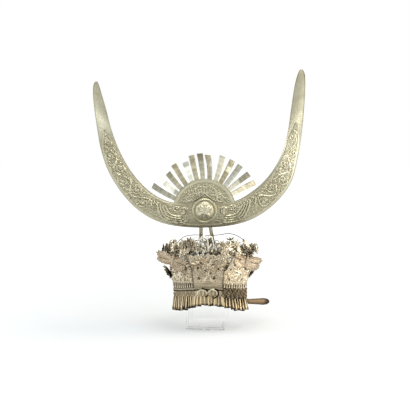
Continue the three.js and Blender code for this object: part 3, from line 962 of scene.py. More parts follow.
@dataclass(frozen=True)
class Paper(Finish):
    """The white sweep under the object, which glows less near it: a painted soft shade round the object."""

    tint: Colour
    glow: float
    near: Colour

    def sockets(self, g: Graph) -> dict[str, object]:
        """Gives values or terms for the shader's inputs.

        Args:
            g: The material's node tree.

        Returns:
            The inputs by name.
        """
        away = g.node("ShaderNodeVectorMath", {"operation": "LENGTH"}, {0: g.place()}, "Value")
        return {
            "Base Color": (*self.tint, 1.0),
            "Roughness": 0.85 + g.noise(300.0) * 0.1,
            "Emission Color": g.mix(away.above(0.2, 1.6), self.near, (1.0, 1.0, 1.0)),
            "Emission Strength": self.glow,
        }


HORN_SILVER = Silver(
    "horn_silver", (0.74, 0.71, 0.55), (0.23, 0.21, 0.13), (0.46, 0.41, 0.28), mottle=0.24, grain=0.12
)
PLATE_SILVER = Silver("plate_silver", (0.84, 0.74, 0.56), (0.13, 0.1, 0.06), (0.5, 0.35, 0.2))
WING_SILVER = Silver(
    "wing_silver", (0.72, 0.61, 0.47), (0.2, 0.155, 0.1), (0.5, 0.37, 0.24), mottle=0.45, rough_pale=0.4
)
BLOOM_SILVER = Silver(
    "bloom_silver", (0.74, 0.67, 0.52), (0.06, 0.044, 0.028), (0.14, 0.09, 0.05), stain_share=0.6, mottle=1.0
)
# Its near-black ground also gives the painted shade of the fringe's dark back rows
DROP_SILVER = Silver(
    "drop_silver", (0.9, 0.75, 0.5), (0.035, 0.025, 0.013), (0.22, 0.14, 0.07), stain_share=0.3, mottle=0.6
)
SPRAY_SILVER = Silver(
    "spray_silver", (0.95, 0.92, 0.83), (0.07, 0.06, 0.04), (0.5, 0.44, 0.3), 0.2, mottle=0.3, metal=0.5
)
RAY_SILVER = RaySilver("ray_silver", (0.95, 0.94, 0.86), (0.23, 0.21, 0.16), (0.93, 0.97, 0.98), (1.0, 0.93, 0.72))
# The middle colour is a painted highlight and the edge colour painted shade
TONGUE_LEATHER = Leather("tongue_leather", (0.035, 0.024, 0.014), (0.55, 0.37, 0.19))
# The tint and the higher cover are the painted shade of the stand's edges
STAND_ACRYLIC = Acrylic("stand_acrylic", (0.16, 0.17, 0.16), 0.014, 0.75)
# The near colour dims the floor's glow round the object, a painted shade
WHITE_PAPER = Paper("white_paper", (0.56, 0.59, 0.62), 0.7, (0.32, 0.32, 0.32))


# The horns and what is fixed to their middle


@dataclass
class Horns:
    """The great crescent, one sheet from tip to tip, with the half disc and the boss at its middle.

    A bend with a painted highlight has its place, width, turn and added paleness, a patch of smoke its place, width and
    shade, and a section its outer and inner edge from the boss. A leaf beside the scroll has its shift, share of the
    room, length, angle and bend, and its ridge.
    """

    boss_x: float = -7.0
    boss_z: float = 257.3
    drop: float = 1.6
    dome: float = 4.0
    grid: tuple[int, int] = (46, 840)
    field_ends: tuple[float, float] = (0.198, 0.826)
    margin: float = 5.0
    point_length: float = 40.0
    scroll_from: float = 118.0
    scroll_wave: float = 62.0
    comma_pitch: float = 5.6
    disc_radii: tuple[float, float, float] = (14.0, 61.5, 70.0)
    boss_depth: float = 4.3
    rope_radius: float = 24.8
    bends_and_highlights: Table = ((262.0, 50.0, 0.18, 0.48), (390.0, 42.0, -0.09, 0.0), (-334.0, 26.0, 0.12, 0.2))
    smoke: Table = (
        (-428.0, 10.0, -0.24), (-404.0, 12.0, -0.12), (-292.0, 14.0, -0.1),
        (354.0, 7.0, -0.1), (381.0, 7.0, -0.14), (425.0, 16.0, -0.32),
    )
    sections: Table = (
        (-238.4, 283.4, -233.6, 283.9), (-241.8, 276.6, -230.4, 277.8), (-243.1, 260.7, -225.9, 262.9),
        (-240.2, 221.1, -214.5, 223.3), (-234.3, 177.1, -203.5, 180.4), (-226.0, 133.1, -188.1, 137.5),
        (-210.0, 86.0, -165.0, 94.6), (-179.3, 37.0, -135.3, 57.6), (-144.1, 1.1, -102.3, 31.9),
        (-93.5, -26.0, -67.1, 19.0), (-3.3, -36.3, -1.0, 16.5), (84.7, -25.3, 64.9, 22.0),
        (128.7, -4.0, 100.1, 40.7), (166.1, 28.6, 129.8, 65.5), (191.4, 66.0, 153.5, 96.0),
        (204.6, 115.5, 170.0, 128.7), (212.3, 166.1, 181.5, 172.0), (217.1, 221.1, 188.8, 223.3),
        (219.5, 275.0, 197.0, 277.2), (218.2, 300.0, 203.3, 301.0), (214.2, 309.5, 207.8, 310.0),
    )
    leaves: Table = (
        (-9, 0.52, 9, 55, 0.2, 1.8, 1.9, 0.7), (6, 0.66, 8.5, 150, 0.25, 1.7, 1.8, 0.7),
        (13, 0.5, 8, 30, -0.2, 1.7, 1.8, 0.6), (-12, -0.62, 7.5, -60, 0.2, 1.6, 1.7, 0.6),
        (15, -0.55, 7.5, -120, -0.2, 1.6, 1.7, 0.6),
    )
    boss_front: Table = (
        (0.0, 9.6), (4.0, 9.4), (9.0, 8.6), (14.0, 6.9), (18.0, 4.7), (20.4, 2.2), (21.4, 1.3),
        (22.2, 1.6), (23.0, 2.8), (24.8, 3.7), (26.6, 2.9), (27.6, 1.4), (27.8, 0.0),
    )
    boss_back: Table = ((14.0, 0.0), (0.0, 0.0))

    def __post_init__(self) -> None:
        """Measures the strip along its middle line."""
        self.stations = np.linspace(0, 1, 1601)
        outer, inner = self.edges(self.stations)
        length = lengths((outer + inner) / 2)
        self.along = length - np.interp(0.5, self.stations, length)
        self.half = np.linalg.norm(inner - outer, axis=1) / 2
        self.ends = tuple(np.interp(self.field_ends, self.stations, self.along))

    def edges(self, stations: Array) -> tuple[Array, Array]:
        """Gives the strip's outer and inner edge at stations from tip to tip, from the boss."""
        rows = np.asarray(self.sections)
        return smooth_path(rows[:, :2], stations), smooth_path(rows[:, 2:], stations)

    def half_at(self, along: Value) -> Value:
        """Gives half the strip's width at distances from the boss."""
        return np.interp(along, self.along, self.half)

    def field_half(self, along: Value) -> Value:
        """Gives half the width of the embossed field, which ends in a point on each horn.

        Args:
            along: Distances from the boss along the strip.

        Returns:
            The half widths.
        """
        low, high = self.ends
        point = np.clip(np.minimum(along - low, high - along) / self.point_length, 0, 1)
        ogee = 0.55 * point**0.75 + 0.45 * ease(point, 0, 1)
        return (self.half_at(along) - self.margin) * ogee

    def scrolls(self, side: Side) -> list[Stroke]:
        """Draws the running scroll of one horn, in distance along the strip and across it.

        Args:
            side: The horn.

        Returns:
            The strokes.
        """
        way, end = side.value, abs(self.ends[side is Side.RIGHT])
        first, wave = self.scroll_from, self.scroll_wave
        run = np.linspace(first, end - 18, 150)
        stem = 0.5 * self.field_half(way * run) * np.sin(2 * np.pi * (run - first) / wave)
        strokes = [Stroke(columns(run, stem), 1.9, 2.9, 1.3), Stroke(curl(end - 24, 0, 4.2, 180), 1.6, 2.4, 1.0)]
        for k, at in enumerate(np.arange(first + wave / 4, end - 22, wave / 2)):
            hand, room = (-1) ** k, self.field_half(way * at)
            eye, size = -0.26 * hand * room, min(room * 0.56, 11.5)
            strokes.append(Stroke(curl(at + 3, eye, size, -65 * hand, -hand), 1.9, 2.5, 1.1))
            strokes += blossom(at + 3, eye, size * 0.42, 2.7, 5, 20 * k)
            for shift, share, long, angle, bend, *ridge in self.leaves:
                strokes.append(Stroke(dash(at + shift, hand * share * room, long, hand * angle, bend), *ridge))
        strokes += self.beside_boss(way)
        return [replace(stroke, path=stroke.path * (way, 1)) for stroke in strokes]

    def beside_boss(self, way: int) -> list[Stroke]:
        """Draws the feathers, swirls and pearls that fill the broad part beside the boss.

        Args:
            way: -1 for the left horn, or 1.

        Returns:
            The strokes.
        """
        strokes = [*blossom(47, 9, 4.0, 2.9), Stroke(curl(47, 9, 8.5, 30, 1, 1.8), 1.8, 2.9, 1.1)]
        strokes.append(Stroke(curl(66, 12, 6.5, 160, -1), 1.7, 2.6, 1.0))
        for k in range(4):
            sweep = [(114 - 7 * k, 13), (99 - 6 * k, 2 * k - 2), (82 - 3 * k, 4.5 * k - 15)]
            sweep += [(60, 4.8 * k - 18), (42 + 2 * k, 4.8 * k - 17)]
            strokes.append(Stroke(smooth_path(sweep, np.linspace(1, 0, 26)), 1.5, 2.3, 2.0))
        strokes += [Stroke(dash(122 + 5 * k, 13 - 3 * k, 10, 200 - 8 * k, 0.2), 1.7, 3.0, 0.8) for k in range(5)]
        return strokes + [bead(x, self.field_half(way * x) - 2.4, 1.4, 1.5) for x in np.arange(72, 116, 4.4)]

    def commas(self) -> list[Stroke]:
        """Scatters the small bent leaves that fill the ground between the scrolls.

        Returns:
            A stroke for each leaf.
        """
        places, pitch = [], self.comma_pitch
        for along in np.arange(self.ends[0] + 8, self.ends[1] - 8, pitch):
            room = self.field_half(along) - 2.0
            places += [(along, across, 0.0) for across in np.arange(-room, room, pitch)]
        return litter(places, 11)

    def crescent(self) -> Piece:
        """Hammers the crescent from tip to tip, across from its outer to its inner edge.

        Returns:
            The crescent.
        """
        strokes = [*self.scrolls(Side.LEFT), *self.scrolls(Side.RIGHT), *self.commas()]
        sheet = Sheet.lay("crescent", self.grid)
        x, station = sheet.x, sheet.share
        flat = lerp(*self.edges(station), ((x + 1) / 2)[:, None])
        along = np.interp(station, self.stations, self.along)
        half, room = self.half_at(along), self.field_half(along)
        offset, inner = x * half, x > 0
        depth = room + self.margin * bump(along, 75) * inner - abs(offset)
        motif = relief(columns(along, offset), strokes) * ease(depth, 0.4, 2.2) * ease(abs(along), 26, 31)
        border = bump(depth - 0.4, 1.15) * ease(room, 0.2, 2.0) * (1 - bump(along, 90) * inner)
        forward = self.dome * (half / self.half.max()) ** 2.6 * (1 - x**2) + motif + border
        worked = 0.33 + 0.45 * np.clip(motif / 3.0, 0, 1) + 0.26 * border
        plain = (0.5 + 0.3 * ease(abs(along), 285, 350)) * ease(-depth, -1.6, 0.6)
        raised = np.where(depth < 1.4, np.maximum(plain, 0.4 * border + 0.2), worked)
        tips = ease(abs(along), 280, 340)
        # The strip's edges are painted darker, a painted shade outline, most along the inner edge beside the boss
        edge = 1 - ease(half - abs(offset) - 1.2 * tips, 0.2, 1.6)
        raised *= 1 - (0.4 + 0.5 * bump(along, 80) * inner + 0.15 * tips) * edge
        # Each bend turns the strip towards a softbox, and its paleness is a painted highlight there
        for place, width, turn, pale in self.bends_and_highlights:
            flare = bump(along - place, width)
            forward += turn * offset * flare
            raised += pale * flare
        for place, width, shade in self.smoke:
            raised += shade * bump(along - place + 0.5 * offset, width)
        points = columns(flat[:, 0] + self.boss_x, -forward, flat[:, 1] + self.boss_z - self.drop)
        return sheet.shape(points, raised)

    def half_disc(self) -> Piece:
        """Hammers the half disc that stands behind the crescent's middle.

        Returns:
            The half disc.
        """
        inner, field_end, outer = self.disc_radii
        strokes = [Stroke(dash(0, 40, 44, 90 + side * 118, 0.12 * side), 1.9, 2.2, 1.2) for side in (-1, 1)]
        for k, angle in enumerate(range(-75, 76, 25)):
            x, y = 45.5 * sind(angle), 45.5 * cosd(angle)
            strokes.append(Stroke(curl(x, y, 8.2, 270 - angle, (-1) ** k), 1.9, 2.0, 1.0))
            strokes += blossom(x, y, 3.0, 2.2, 5, angle)
            for turn, reach in ((-9, 53.0), (9, 53.0), (-12.5, 40.0), (12.5, 42.0)):
                x, y = reach * sind(angle + turn), reach * cosd(angle + turn)
                strokes.append(Stroke(dash(x, y, 7, 90 - angle - 6 * turn, 0.2), 1.6, 1.6, 0.6))
        turns = [(r, a) for r in np.arange(30.0, 60.0, 5.4) for a in np.arange(-86, 87, 310 / r)]
        spots = [(r * sind(a), r * cosd(a), 90 - a) for r, a in turns]
        strokes += litter([spot for spot in spots if spot[1] > 38 - 0.55 * abs(spot[0])], 6)
        sheet = Sheet.lay("half_disc_relief", (260, 64))
        bearing, radius = np.radians(97 * sheet.x), lerp(inner, outer, sheet.share)
        across, up = radius * np.sin(bearing), radius * np.cos(bearing)
        clear = ease(up, 14, 20)
        motif = relief(columns(across, up), strokes) * (radius < field_end) * clear
        rolled = (1.4 * bump(radius - 66.0, 3.2) + 0.8 * bump(radius - 62.6, 0.9)) * clear
        rim = 0.54 + 0.1 * rolled - 0.2 * bump(radius - 64.0, 0.6)
        raised = np.where(radius > field_end + 0.3, rim, 0.32 + 0.4 * np.clip(motif / 2.0, 0, 1))
        return sheet.shape(columns(across + self.boss_x, 1.1 - motif - rolled, up + self.boss_z), raised)

    def boss(self) -> Piece:
        """Turns the boss: a roped rim round a dome with a flower on it, out along its front and back behind.

        Returns:
            The boss.
        """
        profile = np.array(self.boss_front + self.boss_back)
        run = lengths(profile)
        strokes = blossom(0, 0, 14.5, 1.6, 4, 40)
        strokes += [Stroke(dash(0, 0, 15.5, 85 + 90 * k), 1.5, 1.3, 0.6) for k in range(4)]
        strokes += [bead(17.2 * cosd(a), 17.2 * sind(a), 1.0, 0.7) for a in range(0, 360, 12)]
        sheet = Sheet.lay("boss_flower", (238, 74))
        turn, at = np.pi * sheet.x, sheet.share * run[-1]
        radius, height = read_rows(profile, run, at).T
        front = at < run[len(self.boss_front) - 1]
        across, up = radius * np.sin(turn), radius * np.cos(turn)
        flower = relief(columns(across, up), strokes) * front * (radius < 20)
        rope = bump(radius - self.rope_radius, 1.7) * front
        twist = 0.5 + 0.5 * np.cos(34 * turn + 1.1 * (radius - self.rope_radius))
        height += flower + rope * (0.7 * twist - 0.35)
        raised = 0.62 + 0.2 * np.clip(flower, 0, 1.2) + rope * (0.4 * twist - 0.2)
        raised -= 0.12 * bump(radius - 21.6, 0.9) * front
        points = columns(across + self.boss_x, -self.boss_depth - height, up + self.boss_z)
        return sheet.shape(points, raised, thickness=0, closed=True)

    def build(self, silver: Material) -> None:
        """Makes and dresses the crescent, the half disc and the boss."""
        settle(self.crescent(), silver, Slot.SILVER, "horn_crescent")
        settle(self.half_disc(), silver, Slot.SILVER, "half_disc")
        settle(self.boss(), silver, Slot.SILVER, "boss")


@dataclass(frozen=True)
class Ray:
    """One strip of the sunburst: its bearing at foot and tip, its reach, its bend, its tint and its tones, the tint and
    tones being partly painted reflection and partly its own tarnish.
    """

    base: float
    tip: float
    reach: float
    bend: float
    warm: float
    tones: Table


@dataclass
class Sunburst:
    """The thirteen beaten strips that stand behind the half disc."""

    horns: Horns
    base_radius: float = 57.0
    base_width: float = 10.0
    tip_width: float = 13.6
    depth: float = 2.2
    bend_from: float = 74.0
    edge: float = 0.18
    # Each ray's warm value and tones paint the light that the strip mirrors, along with its tarnish
    rays: tuple[Ray, ...] = (
        Ray(-68.2, -64.1, 126.5, 3, 0.35, ((0.2, 0.3), (0.6, 0.32), (1, 0.2))),
        Ray(-58.4, -53.2, 123.0, -5, 0.2, ((0.3, 0.4), (0.42, 1.1), (0.6, 0.85), (0.72, 0.6), (0.84, 1.2), (1, 1.1))),
        Ray(-47.1, -44.3, 115.5, 2, 0.6, ((0.3, 0.4), (0.7, 0.35), (1, 0.22))),
        Ray(-35.5, -34.0, 122.0, 5, 0.85, ((0.3, 0.3), (0.6, 0.5), (0.8, 0.62), (1, 0.45))),
        Ray(-23.4, -21.6, 114.6, -4, 0.1, ((0.3, 1.0), (0.45, 0.7), (0.6, 1.1), (0.78, 1.0), (0.84, 0.35), (1, 0.3))),
        Ray(-14.1, -13.3, 124.7, 2, 0.8, ((0.2, 0.45), (0.6, 0.42), (0.85, 0.36), (1, 0.24))),
        Ray(-2.6, -4.8, 126.0, 4, 0.45, ((0.2, 0.5), (0.5, 0.4), (0.8, 0.22), (1, 0.14))),
        Ray(9.9, 3.1, 122.5, 6, 0.6, ((0.25, 0.25), (0.4, 0.35), (0.7, 0.55), (0.9, 0.42), (1, 0.24))),
        Ray(21.0, 18.3, 126.3, -2, 0.5, ((0.2, 0.6), (0.6, 0.66), (1, 0.6))),
        Ray(30.4, 29.3, 126.3, 5, 0.85, ((0.2, 0.26), (0.58, 0.28), (0.62, 1.1), (0.74, 1.15), (0.79, 0.42), (1, 0.4))),
        Ray(40.1, 38.5, 126.7, 1, 0.05, ((0.2, 0.5), (0.6, 0.42), (1, 0.3))),
        Ray(49.4, 50.3, 126.7, -3, 0.55, ((0.2, 0.75), (0.56, 0.7), (0.62, 0.2), (1, 0.16))),
        Ray(59.4, 60.9, 126.9, 3, 0.8, ((0.2, 1.1), (0.35, 0.8), (0.7, 0.72), (1, 0.62))),
    )

    def strip(self, ray: Ray, name: str) -> Piece:
        """Beats one strip from foot to tip, cupped across and bent along its length.

        Args:
            ray: Its sizes and tones.
            name: The piece's name.

        Returns:
            The strip.
        """
        sheet = Sheet.lay(name, (6, 44))
        x, share = sheet.x, sheet.share
        radius = lerp(self.base_radius, ray.reach, share)
        bearing = np.radians(lerp(ray.base, ray.tip, share**1.4))
        side = x * lerp(self.base_width, self.tip_width, share) / 2
        beyond = np.maximum(0, radius - self.bend_from) / (ray.reach - self.bend_from)
        ripple = 0.25 * np.sin(share * 17 + ray.base) * ease(share, 0.35, 0.6)
        radius -= 0.5 * (abs(x) > 0.9) * (share > 0.985)
        points = columns(
            radius * np.sin(bearing) + side * np.cos(bearing) + self.horns.boss_x,
            self.depth + ray.bend * beyond**2 + 0.35 * x**2 * beyond + ripple,
            radius * np.cos(bearing) - side * np.sin(bearing) + self.horns.boss_z,
        )
        paint(sheet.obj, np.interp(share, *np.array(ray.tones).T), TONE)
        paint(sheet.obj, ray.warm, WARM)
        raised = 0.6 + 0.3 * (abs(x) > 0.8) - 0.15 * np.sin(share * 40 + ray.tip)
        return sheet.shape(points, raised, bevel=self.edge)

    def build(self, silver: Material) -> None:
        """Makes and dresses every strip."""
        for k, ray in enumerate(self.rays, 1):
            settle(self.strip(ray, f"ray_strip_{k:02d}"), silver, Slot.SILVER, f"ray_{k:02d}")


# The crown


@dataclass(frozen=True)
class Wall:
    """The crown's flared wall: flat facets round an oval."""

    centre_x: float = 5.3
    rim_half_width: float = 80.0
    rim_half_depth: float = 90.0
    top_half_width: float = 101.0
    top_half_depth: float = 108.0
    flare_power: float = 1.3
    flatness: float = 0.8
    rim_z: float = 83.0
    front_arch: float = 14.0
    top_z: float = 176.0
    ring_z: float = 150.0
    ring_inset: float = SHEET + GAP + WIRE / 2 + 0.4
    turn: float = -3.5
    corners: tuple[float, ...] = (-155.5, -118.0, -80.0, -23.0, 23.0, 80.0, 118.0, 155.5, 204.5)

    def rim_at(self, bearing: Value) -> Value:
        """Gives the height of the rim, which arches over the brow."""
        return self.rim_z + self.front_arch * np.maximum(0, np.cos(np.radians(bearing - self.turn))) ** 2

    def rise_at(self, bearing: Value, z: Value) -> Value:
        """Gives the share of the wall's height at a level."""
        return (z - self.rim_at(bearing)) / (self.top_z - self.rim_at(bearing))

    def _oval(self, bearing: Array, flare: Array, out: Array) -> Array:
        """Gives a point of the oval that the facets follow.

        Args:
            bearing: Where round the oval.
            flare: How far the wall has flared.
            out: How far outwards.

        Returns:
            A point a row, in X and Y.
        """
        angle = np.radians(bearing)
        wide = lerp(self.rim_half_width, self.top_half_width, flare) + out
        deep = lerp(self.rim_half_depth, self.top_half_depth, flare) + out
        return columns(wide * np.sin(angle), -deep * np.cos(angle))

    def points(self, bearing: Value, rise: Value, out: Value) -> Array:
        """Gives points on the wall.

        Args:
            bearing: Where round the wall.
            rise: How far up it, from 0 at the rim to 1 at the top.
            out: How far outwards from its outer face.

        Returns:
            A point a row.
        """
        bearing, rise, out = (np.atleast_1d(v) for v in np.broadcast_arrays(bearing, rise, out))
        flare = np.maximum(0, rise) ** self.flare_power
        corners = np.asarray(self.corners) + self.turn
        k = np.clip(np.searchsorted(corners, bearing - 1e-9), 1, len(corners) - 1)
        low, high = corners[k - 1], corners[k]
        share = ((bearing - low) / (high - low))[:, None]
        straight = lerp(self._oval(low, flare, out), self._oval(high, flare, out), share)
        flat = lerp(self._oval(bearing, flare, out), straight, self.flatness)
        return columns(flat[:, 0] + self.centre_x, flat[:, 1], lerp(self.rim_at(bearing), self.top_z, rise))

    def point(self, bearing: float, rise: float, out: float) -> Vector:
        """Gives one point on the wall."""
        return Vector(self.points(bearing, rise, out)[0])

    def normal(self, bearing: float, rise: float) -> Vector:
        """Gives the wall's outward direction."""
        across = self.point(bearing + 0.5, rise, 0) - self.point(bearing - 0.5, rise, 0)
        up = self.point(bearing, rise + 0.01, 0) - self.point(bearing, rise - 0.01, 0)
        return across.cross(up).normalized()

    def ring_point(self, bearing: float) -> Vector:
        """Gives a point of the wire ring inside the wall."""
        return self.point(bearing, self.rise_at(bearing, self.ring_z), -self.ring_inset)


@dataclass(frozen=True)
class Plate:
    """One pointed plate: its bearings, height, relief, top's spread, peak's lean, paleness and depth of tone. The
    paleness is painted light, most on the plate that faces the warm key light, and the depth of tone is set lower there
    to paint it evenly lit.
    """

    name: str
    start: float
    end: float
    peak: float
    shoulder: float
    motif: Motif = Motif.GARLAND
    spread: float = 0.0
    lean: float = 0.0
    pale: float = 0.0
    depth: float = 0.56


@dataclass
class CrownPlates:
    """The pierced and embossed plates of the wall, from the front round both sides to the back.

    A hole has its place across, its height and its turn. A scroll has its place, size and start, and a leaf its place
    and angle, as shares of the plate.
    """

    wall: Wall
    dome: float = 2.4
    grid: tuple[int, int] = (96, 88)
    foot: float = 18.0
    edge: float = 1.8
    widen: float = 0.75
    tail_root: float = 22.0
    pearl_pitch: float = 4.2
    hole: tuple[float, float] = (1.4, 2.5)
    holes: Table = (
        (-0.12, 40, 40), (0.16, 35, -40), (-0.56, 47, -30), (0.6, 45, 30),
        (-0.58, 24, 20), (0.4, 24, -20), (-0.3, 57, 50), (0.26, 54, -50),
    )
    scrolls: Table = (
        (0.36, 0.36, 0.085, 90), (0.64, 0.42, 0.08, -60), (0.36, 0.64, 0.075, -90), (0.14, 0.76, 0.06, 200),
        (0.15, 0.31, 0.05, 40), (0.72, 0.58, 0.06, 120), (0.84, 0.34, 0.055, 30),
    )
    leaves: Table = (
        (0.5, 0.28, 65), (0.72, 0.28, 110), (0.5, 0.5, 100), (0.22, 0.42, 30), (0.24, 0.6, 150),
        (0.56, 0.54, 20), (0.86, 0.46, 95), (0.3, 0.74, 70), (0.86, 0.27, 90),
    )
    plates: tuple[Plate, ...] = (
        # Paleness and depth paint light: fore_right, facing the warm key light, is paler and flatter, fore_left darker
        # and deeper
        Plate("front", -22.0, 22.0, 1.0, 0.95, Motif.TAIL, spread=0.36, pale=0.18, depth=0.58),
        Plate("fore_left", -79.0, -24.0, 0.85, 0.63, lean=0.2, pale=0.1, depth=0.76),
        Plate("fore_right", 24.0, 79.0, 0.89, 0.56, lean=-0.5, pale=0.42, depth=0.42),
        Plate("side_left", -117.0, -81.0, 0.85, 0.66),
        Plate("side_right", 81.0, 117.0, 0.85, 0.66),
        Plate("rear_left", -154.5, -119.0, 0.85, 0.66),
        Plate("rear_right", 119.0, 154.5, 0.85, 0.66),
        Plate("back", 156.5, 203.5, 0.9, 0.66),
    )

    def tail(self, half: float, height: float) -> list[Stroke]:
        """Draws a tail of small feathers that spreads above a bird's body, wings and bands.

        Args:
            half: Half the plate's width.
            height: The plate's height.

        Returns:
            The strokes.
        """
        root, places = self.tail_root, []
        for reach in np.arange(10.0, 74.0, 4.4):
            count = max(5, int(reach * 0.58))
            for angle in 90 + (np.arange(count) - (count - 1) / 2) * 168.0 / count:
                x, y = reach * cosd(angle), root + reach * sind(angle)
                if abs(x) < half and y < height:
                    places.append((x, y, angle))
        strokes = litter(places, 4, 35.0)
        for k, angle in enumerate((28, 46, 62, 78, 102, 118, 134, 152)):
            bow = math.copysign(0.2, 90 - angle)
            line = dash(16 * cosd(angle), root + 16 * sind(angle), 34 - 5 * (k % 2), angle, bow)
            strokes.append(Stroke(line, 0.6, 2.0, 1.7))
        strokes.append(Stroke(dash(-4, 24, 9, 40, 0.2), 2.6, 1.3, 1.6))
        strokes.append(Stroke(curl(1.2, 32, 3.4, 200, -1, 1.2), 1.3, 2.4, 0.8))
        for side in (-1, 1):
            for k in range(5):
                line = dash(side * 5, 25 - 1.6 * k, 24 - 2.6 * k, 90 - side * (92 + 4 * k), -0.14 * side)
                strokes.append(Stroke(line, 1.1, 1.7, 0.6))
        across = np.linspace(4 - half, half - 4, 9)
        return strokes + [Stroke(columns(across, y), 0.8, 1.0) for y in (7.0, 11.0, 15.0)]

    def garland(self, half: float, height: float) -> list[Stroke]:
        """Draws a flower among scrolls and leaves over a fluted foot.

        Args:
            half: Half the plate's width.
            height: The plate's height.

        Returns:
            The strokes.
        """
        strokes = blossom(0, 0.5 * height, 0.145 * height, 3.0, 7)
        for side in (-1, 1):
            for x, y, size, start in self.scrolls:
                line = curl(side * x * half, y * height, size * height, start, -side)
                strokes.append(Stroke(line, 1.5, 2.3, 0.8))
            for x, y, angle in self.leaves:
                line = dash(side * x * half, y * height, 0.11 * height, 90 + side * (angle - 90), 0.2 * side)
                strokes.append(Stroke(line, 1.3, 1.8, 0.5))
        strokes.append(Stroke(dash(0, 0.66 * height, 0.2 * height, 90), 1.4, 2.2, 0.8))
        strokes.append(bead(0, 0.9 * height, 2.0, 2.2))
        pitch = 2 * half / round(2 * half / 9.0)
        for x in np.arange(-half + pitch / 2, half, pitch):
            strokes.append(Stroke(dash(x, 4.0, 10.5, 90), 2.7, 2.4, 0.9))
            strokes.append(Stroke(curl(x + pitch / 2, 18.0, 2.8, 90 + 20 * x, 1 if x > 0 else -1), 0.9, 2.0, 0.6))
        return strokes

    @staticmethod
    def rise_of(plate: Plate, across: Value, up: Value) -> Value:
        """Gives the height shares of a plate that rises in hollow curves to its point, with a lobed edge.

        Args:
            plate: The plate.
            across: Places across it, from -1 to 1.
            up: Shares of its own height.

        Returns:
            Shares of the wall's height.
        """
        away = abs(across - plate.lean) / (1 - plate.lean * np.sign(across - plate.lean))
        hump = 0.5 + 0.5 * np.cos(np.pi * away**0.75)
        wave = 0.7 - 0.5 * np.cos(across * 8.5 * np.pi) + 0.2 * np.sin(across * 17 + 5 * plate.start)
        lobes = 1 - 0.045 * wave * ease(up, 0.75, 1)
        return up * plate.peak * lerp(plate.shoulder, 1.0, hump) * lobes

    def top_at(self, bearing: float) -> float:
        """Gives the level of the wall's upper edge at a bearing.

        Args:
            bearing: Where round the wall.

        Returns:
            The level.
        """
        own = bearing - self.wall.turn
        plate = min(self.plates, key=lambda p: max(p.start - own, own - p.end))
        across = np.clip((2 * own - plate.start - plate.end) / (plate.end - plate.start), -1, 1)
        return float(lerp(self.wall.rim_at(bearing), self.wall.top_z, self.rise_of(plate, across, 1.0)))

    def hammer(self, plate: Plate) -> Piece:
        """Hammers and pierces one plate.

        Args:
            plate: Its sizes and tones.

        Returns:
            The plate.
        """
        wall, garland = self.wall, plate.motif is Motif.GARLAND
        middle = (plate.start + plate.end) / 2 + wall.turn
        half = (plate.end - plate.start) / 2 + self.widen
        height = wall.top_z - wall.rim_at(middle)
        half_mm = lengths(wall.points(np.array([middle - half, middle + half]), 0.4, 0))[1] / 2
        strokes = (self.garland if garland else self.tail)(half_mm, height * plate.peak)
        chance = np.random.default_rng(abs(int(middle)) + 3)
        for x in np.arange(3 - half_mm, half_mm - 2, self.pearl_pitch):
            for y in np.arange(14.5, height * plate.peak, self.pearl_pitch):
                dx, dy = chance.uniform(-1.3, 1.3, 2)
                strokes.append(bead(x + dx, y + dy, chance.uniform(0.8, 1.4), 0.8))

        def away(x: Array, y: Array) -> Array:
            """Measures how far points are from the pierced leaf shapes: 1 at the edge of an opening.

            Args:
                x: Places across the grid.
                y: Places up the grid.

            Returns:
                A measure for each place.
            """
            across, up, shares = x * half_mm, self.rise_of(plate, x, (y + 1) / 2) * height, []
            for a, u, turn in self.holes:
                dx, dy, c, s = across - a * half_mm, up - u, cosd(turn), sind(turn)
                shares.append(((dx * c + dy * s) / self.hole[0]) ** 2 + ((dy * c - dx * s) / self.hole[1]) ** 2)
            return np.min(shares, axis=0)

        sheet = Sheet.lay(f"plate_{plate.name}", self.grid, lambda x, y: away(x, y) < 1)
        x, share = sheet.x, sheet.share
        rise, top = self.rise_of(plate, x, share), self.rise_of(plate, x, 1.0)
        bearing = middle + x * half * (1 + plate.spread * ease(rise, 0.5, 0.9))
        up, side, crest = rise * height, (1 - abs(x)) * half_mm, (top - rise) * height * 0.8
        border = 0.9 * bump(crest - self.edge, 0.9) * ease(side, 0, 2)
        inner = ease(crest, self.edge + 0.6, self.edge + 2.0) * ease(side, 0.6, 2.4)
        flat = columns(x * half_mm * (1 + plate.spread * 0.5 * share), up)
        motif = relief(flat, strokes) * inner * ease(up, 4.2, 5.2)
        line = 0.5 * bump(up - self.foot, 0.8) * inner
        swell = self.dome * np.clip(1 - (x / 0.62) ** 2 - ((share - 0.55) / 0.36) ** 2, 0, 1)
        tuck = 5.0 * plate.spread * ease(abs(x), 0.75, 0.9) * ease(rise, 0.4, 0.55)
        sunk = 1 - np.clip(motif / 1.8, 0, 1)
        # plate.pale adds the painted light of how well the plate is lit
        raised = 0.16 + plate.depth * (1 - sunk) + 0.45 * border + 0.35 * line + plate.pale
        raised -= 0.9 * sunk * bump(up - 9.0, 4.0) * garland
        # Near its side edges the plate is painted darker, a painted shadow line where the plates meet
        raised = np.where(crest < self.edge - 0.7, 0.6, raised) * (0.35 + 0.65 * ease(side, 0.5, 3.0))
        raised -= 0.7 * (1 - ease(away(x, sheet.y), 1.2, 3.0))
        points = wall.points(bearing, rise, np.maximum(motif, line) + border + swell - tuck)
        return sheet.shape(points, raised, compass(middle)[0])

    def build(self, silver: Material) -> None:
        """Makes and dresses every plate."""
        for plate in self.plates:
            settle(self.hammer(plate), silver, Slot.SILVER, f"panel_{plate.name}")


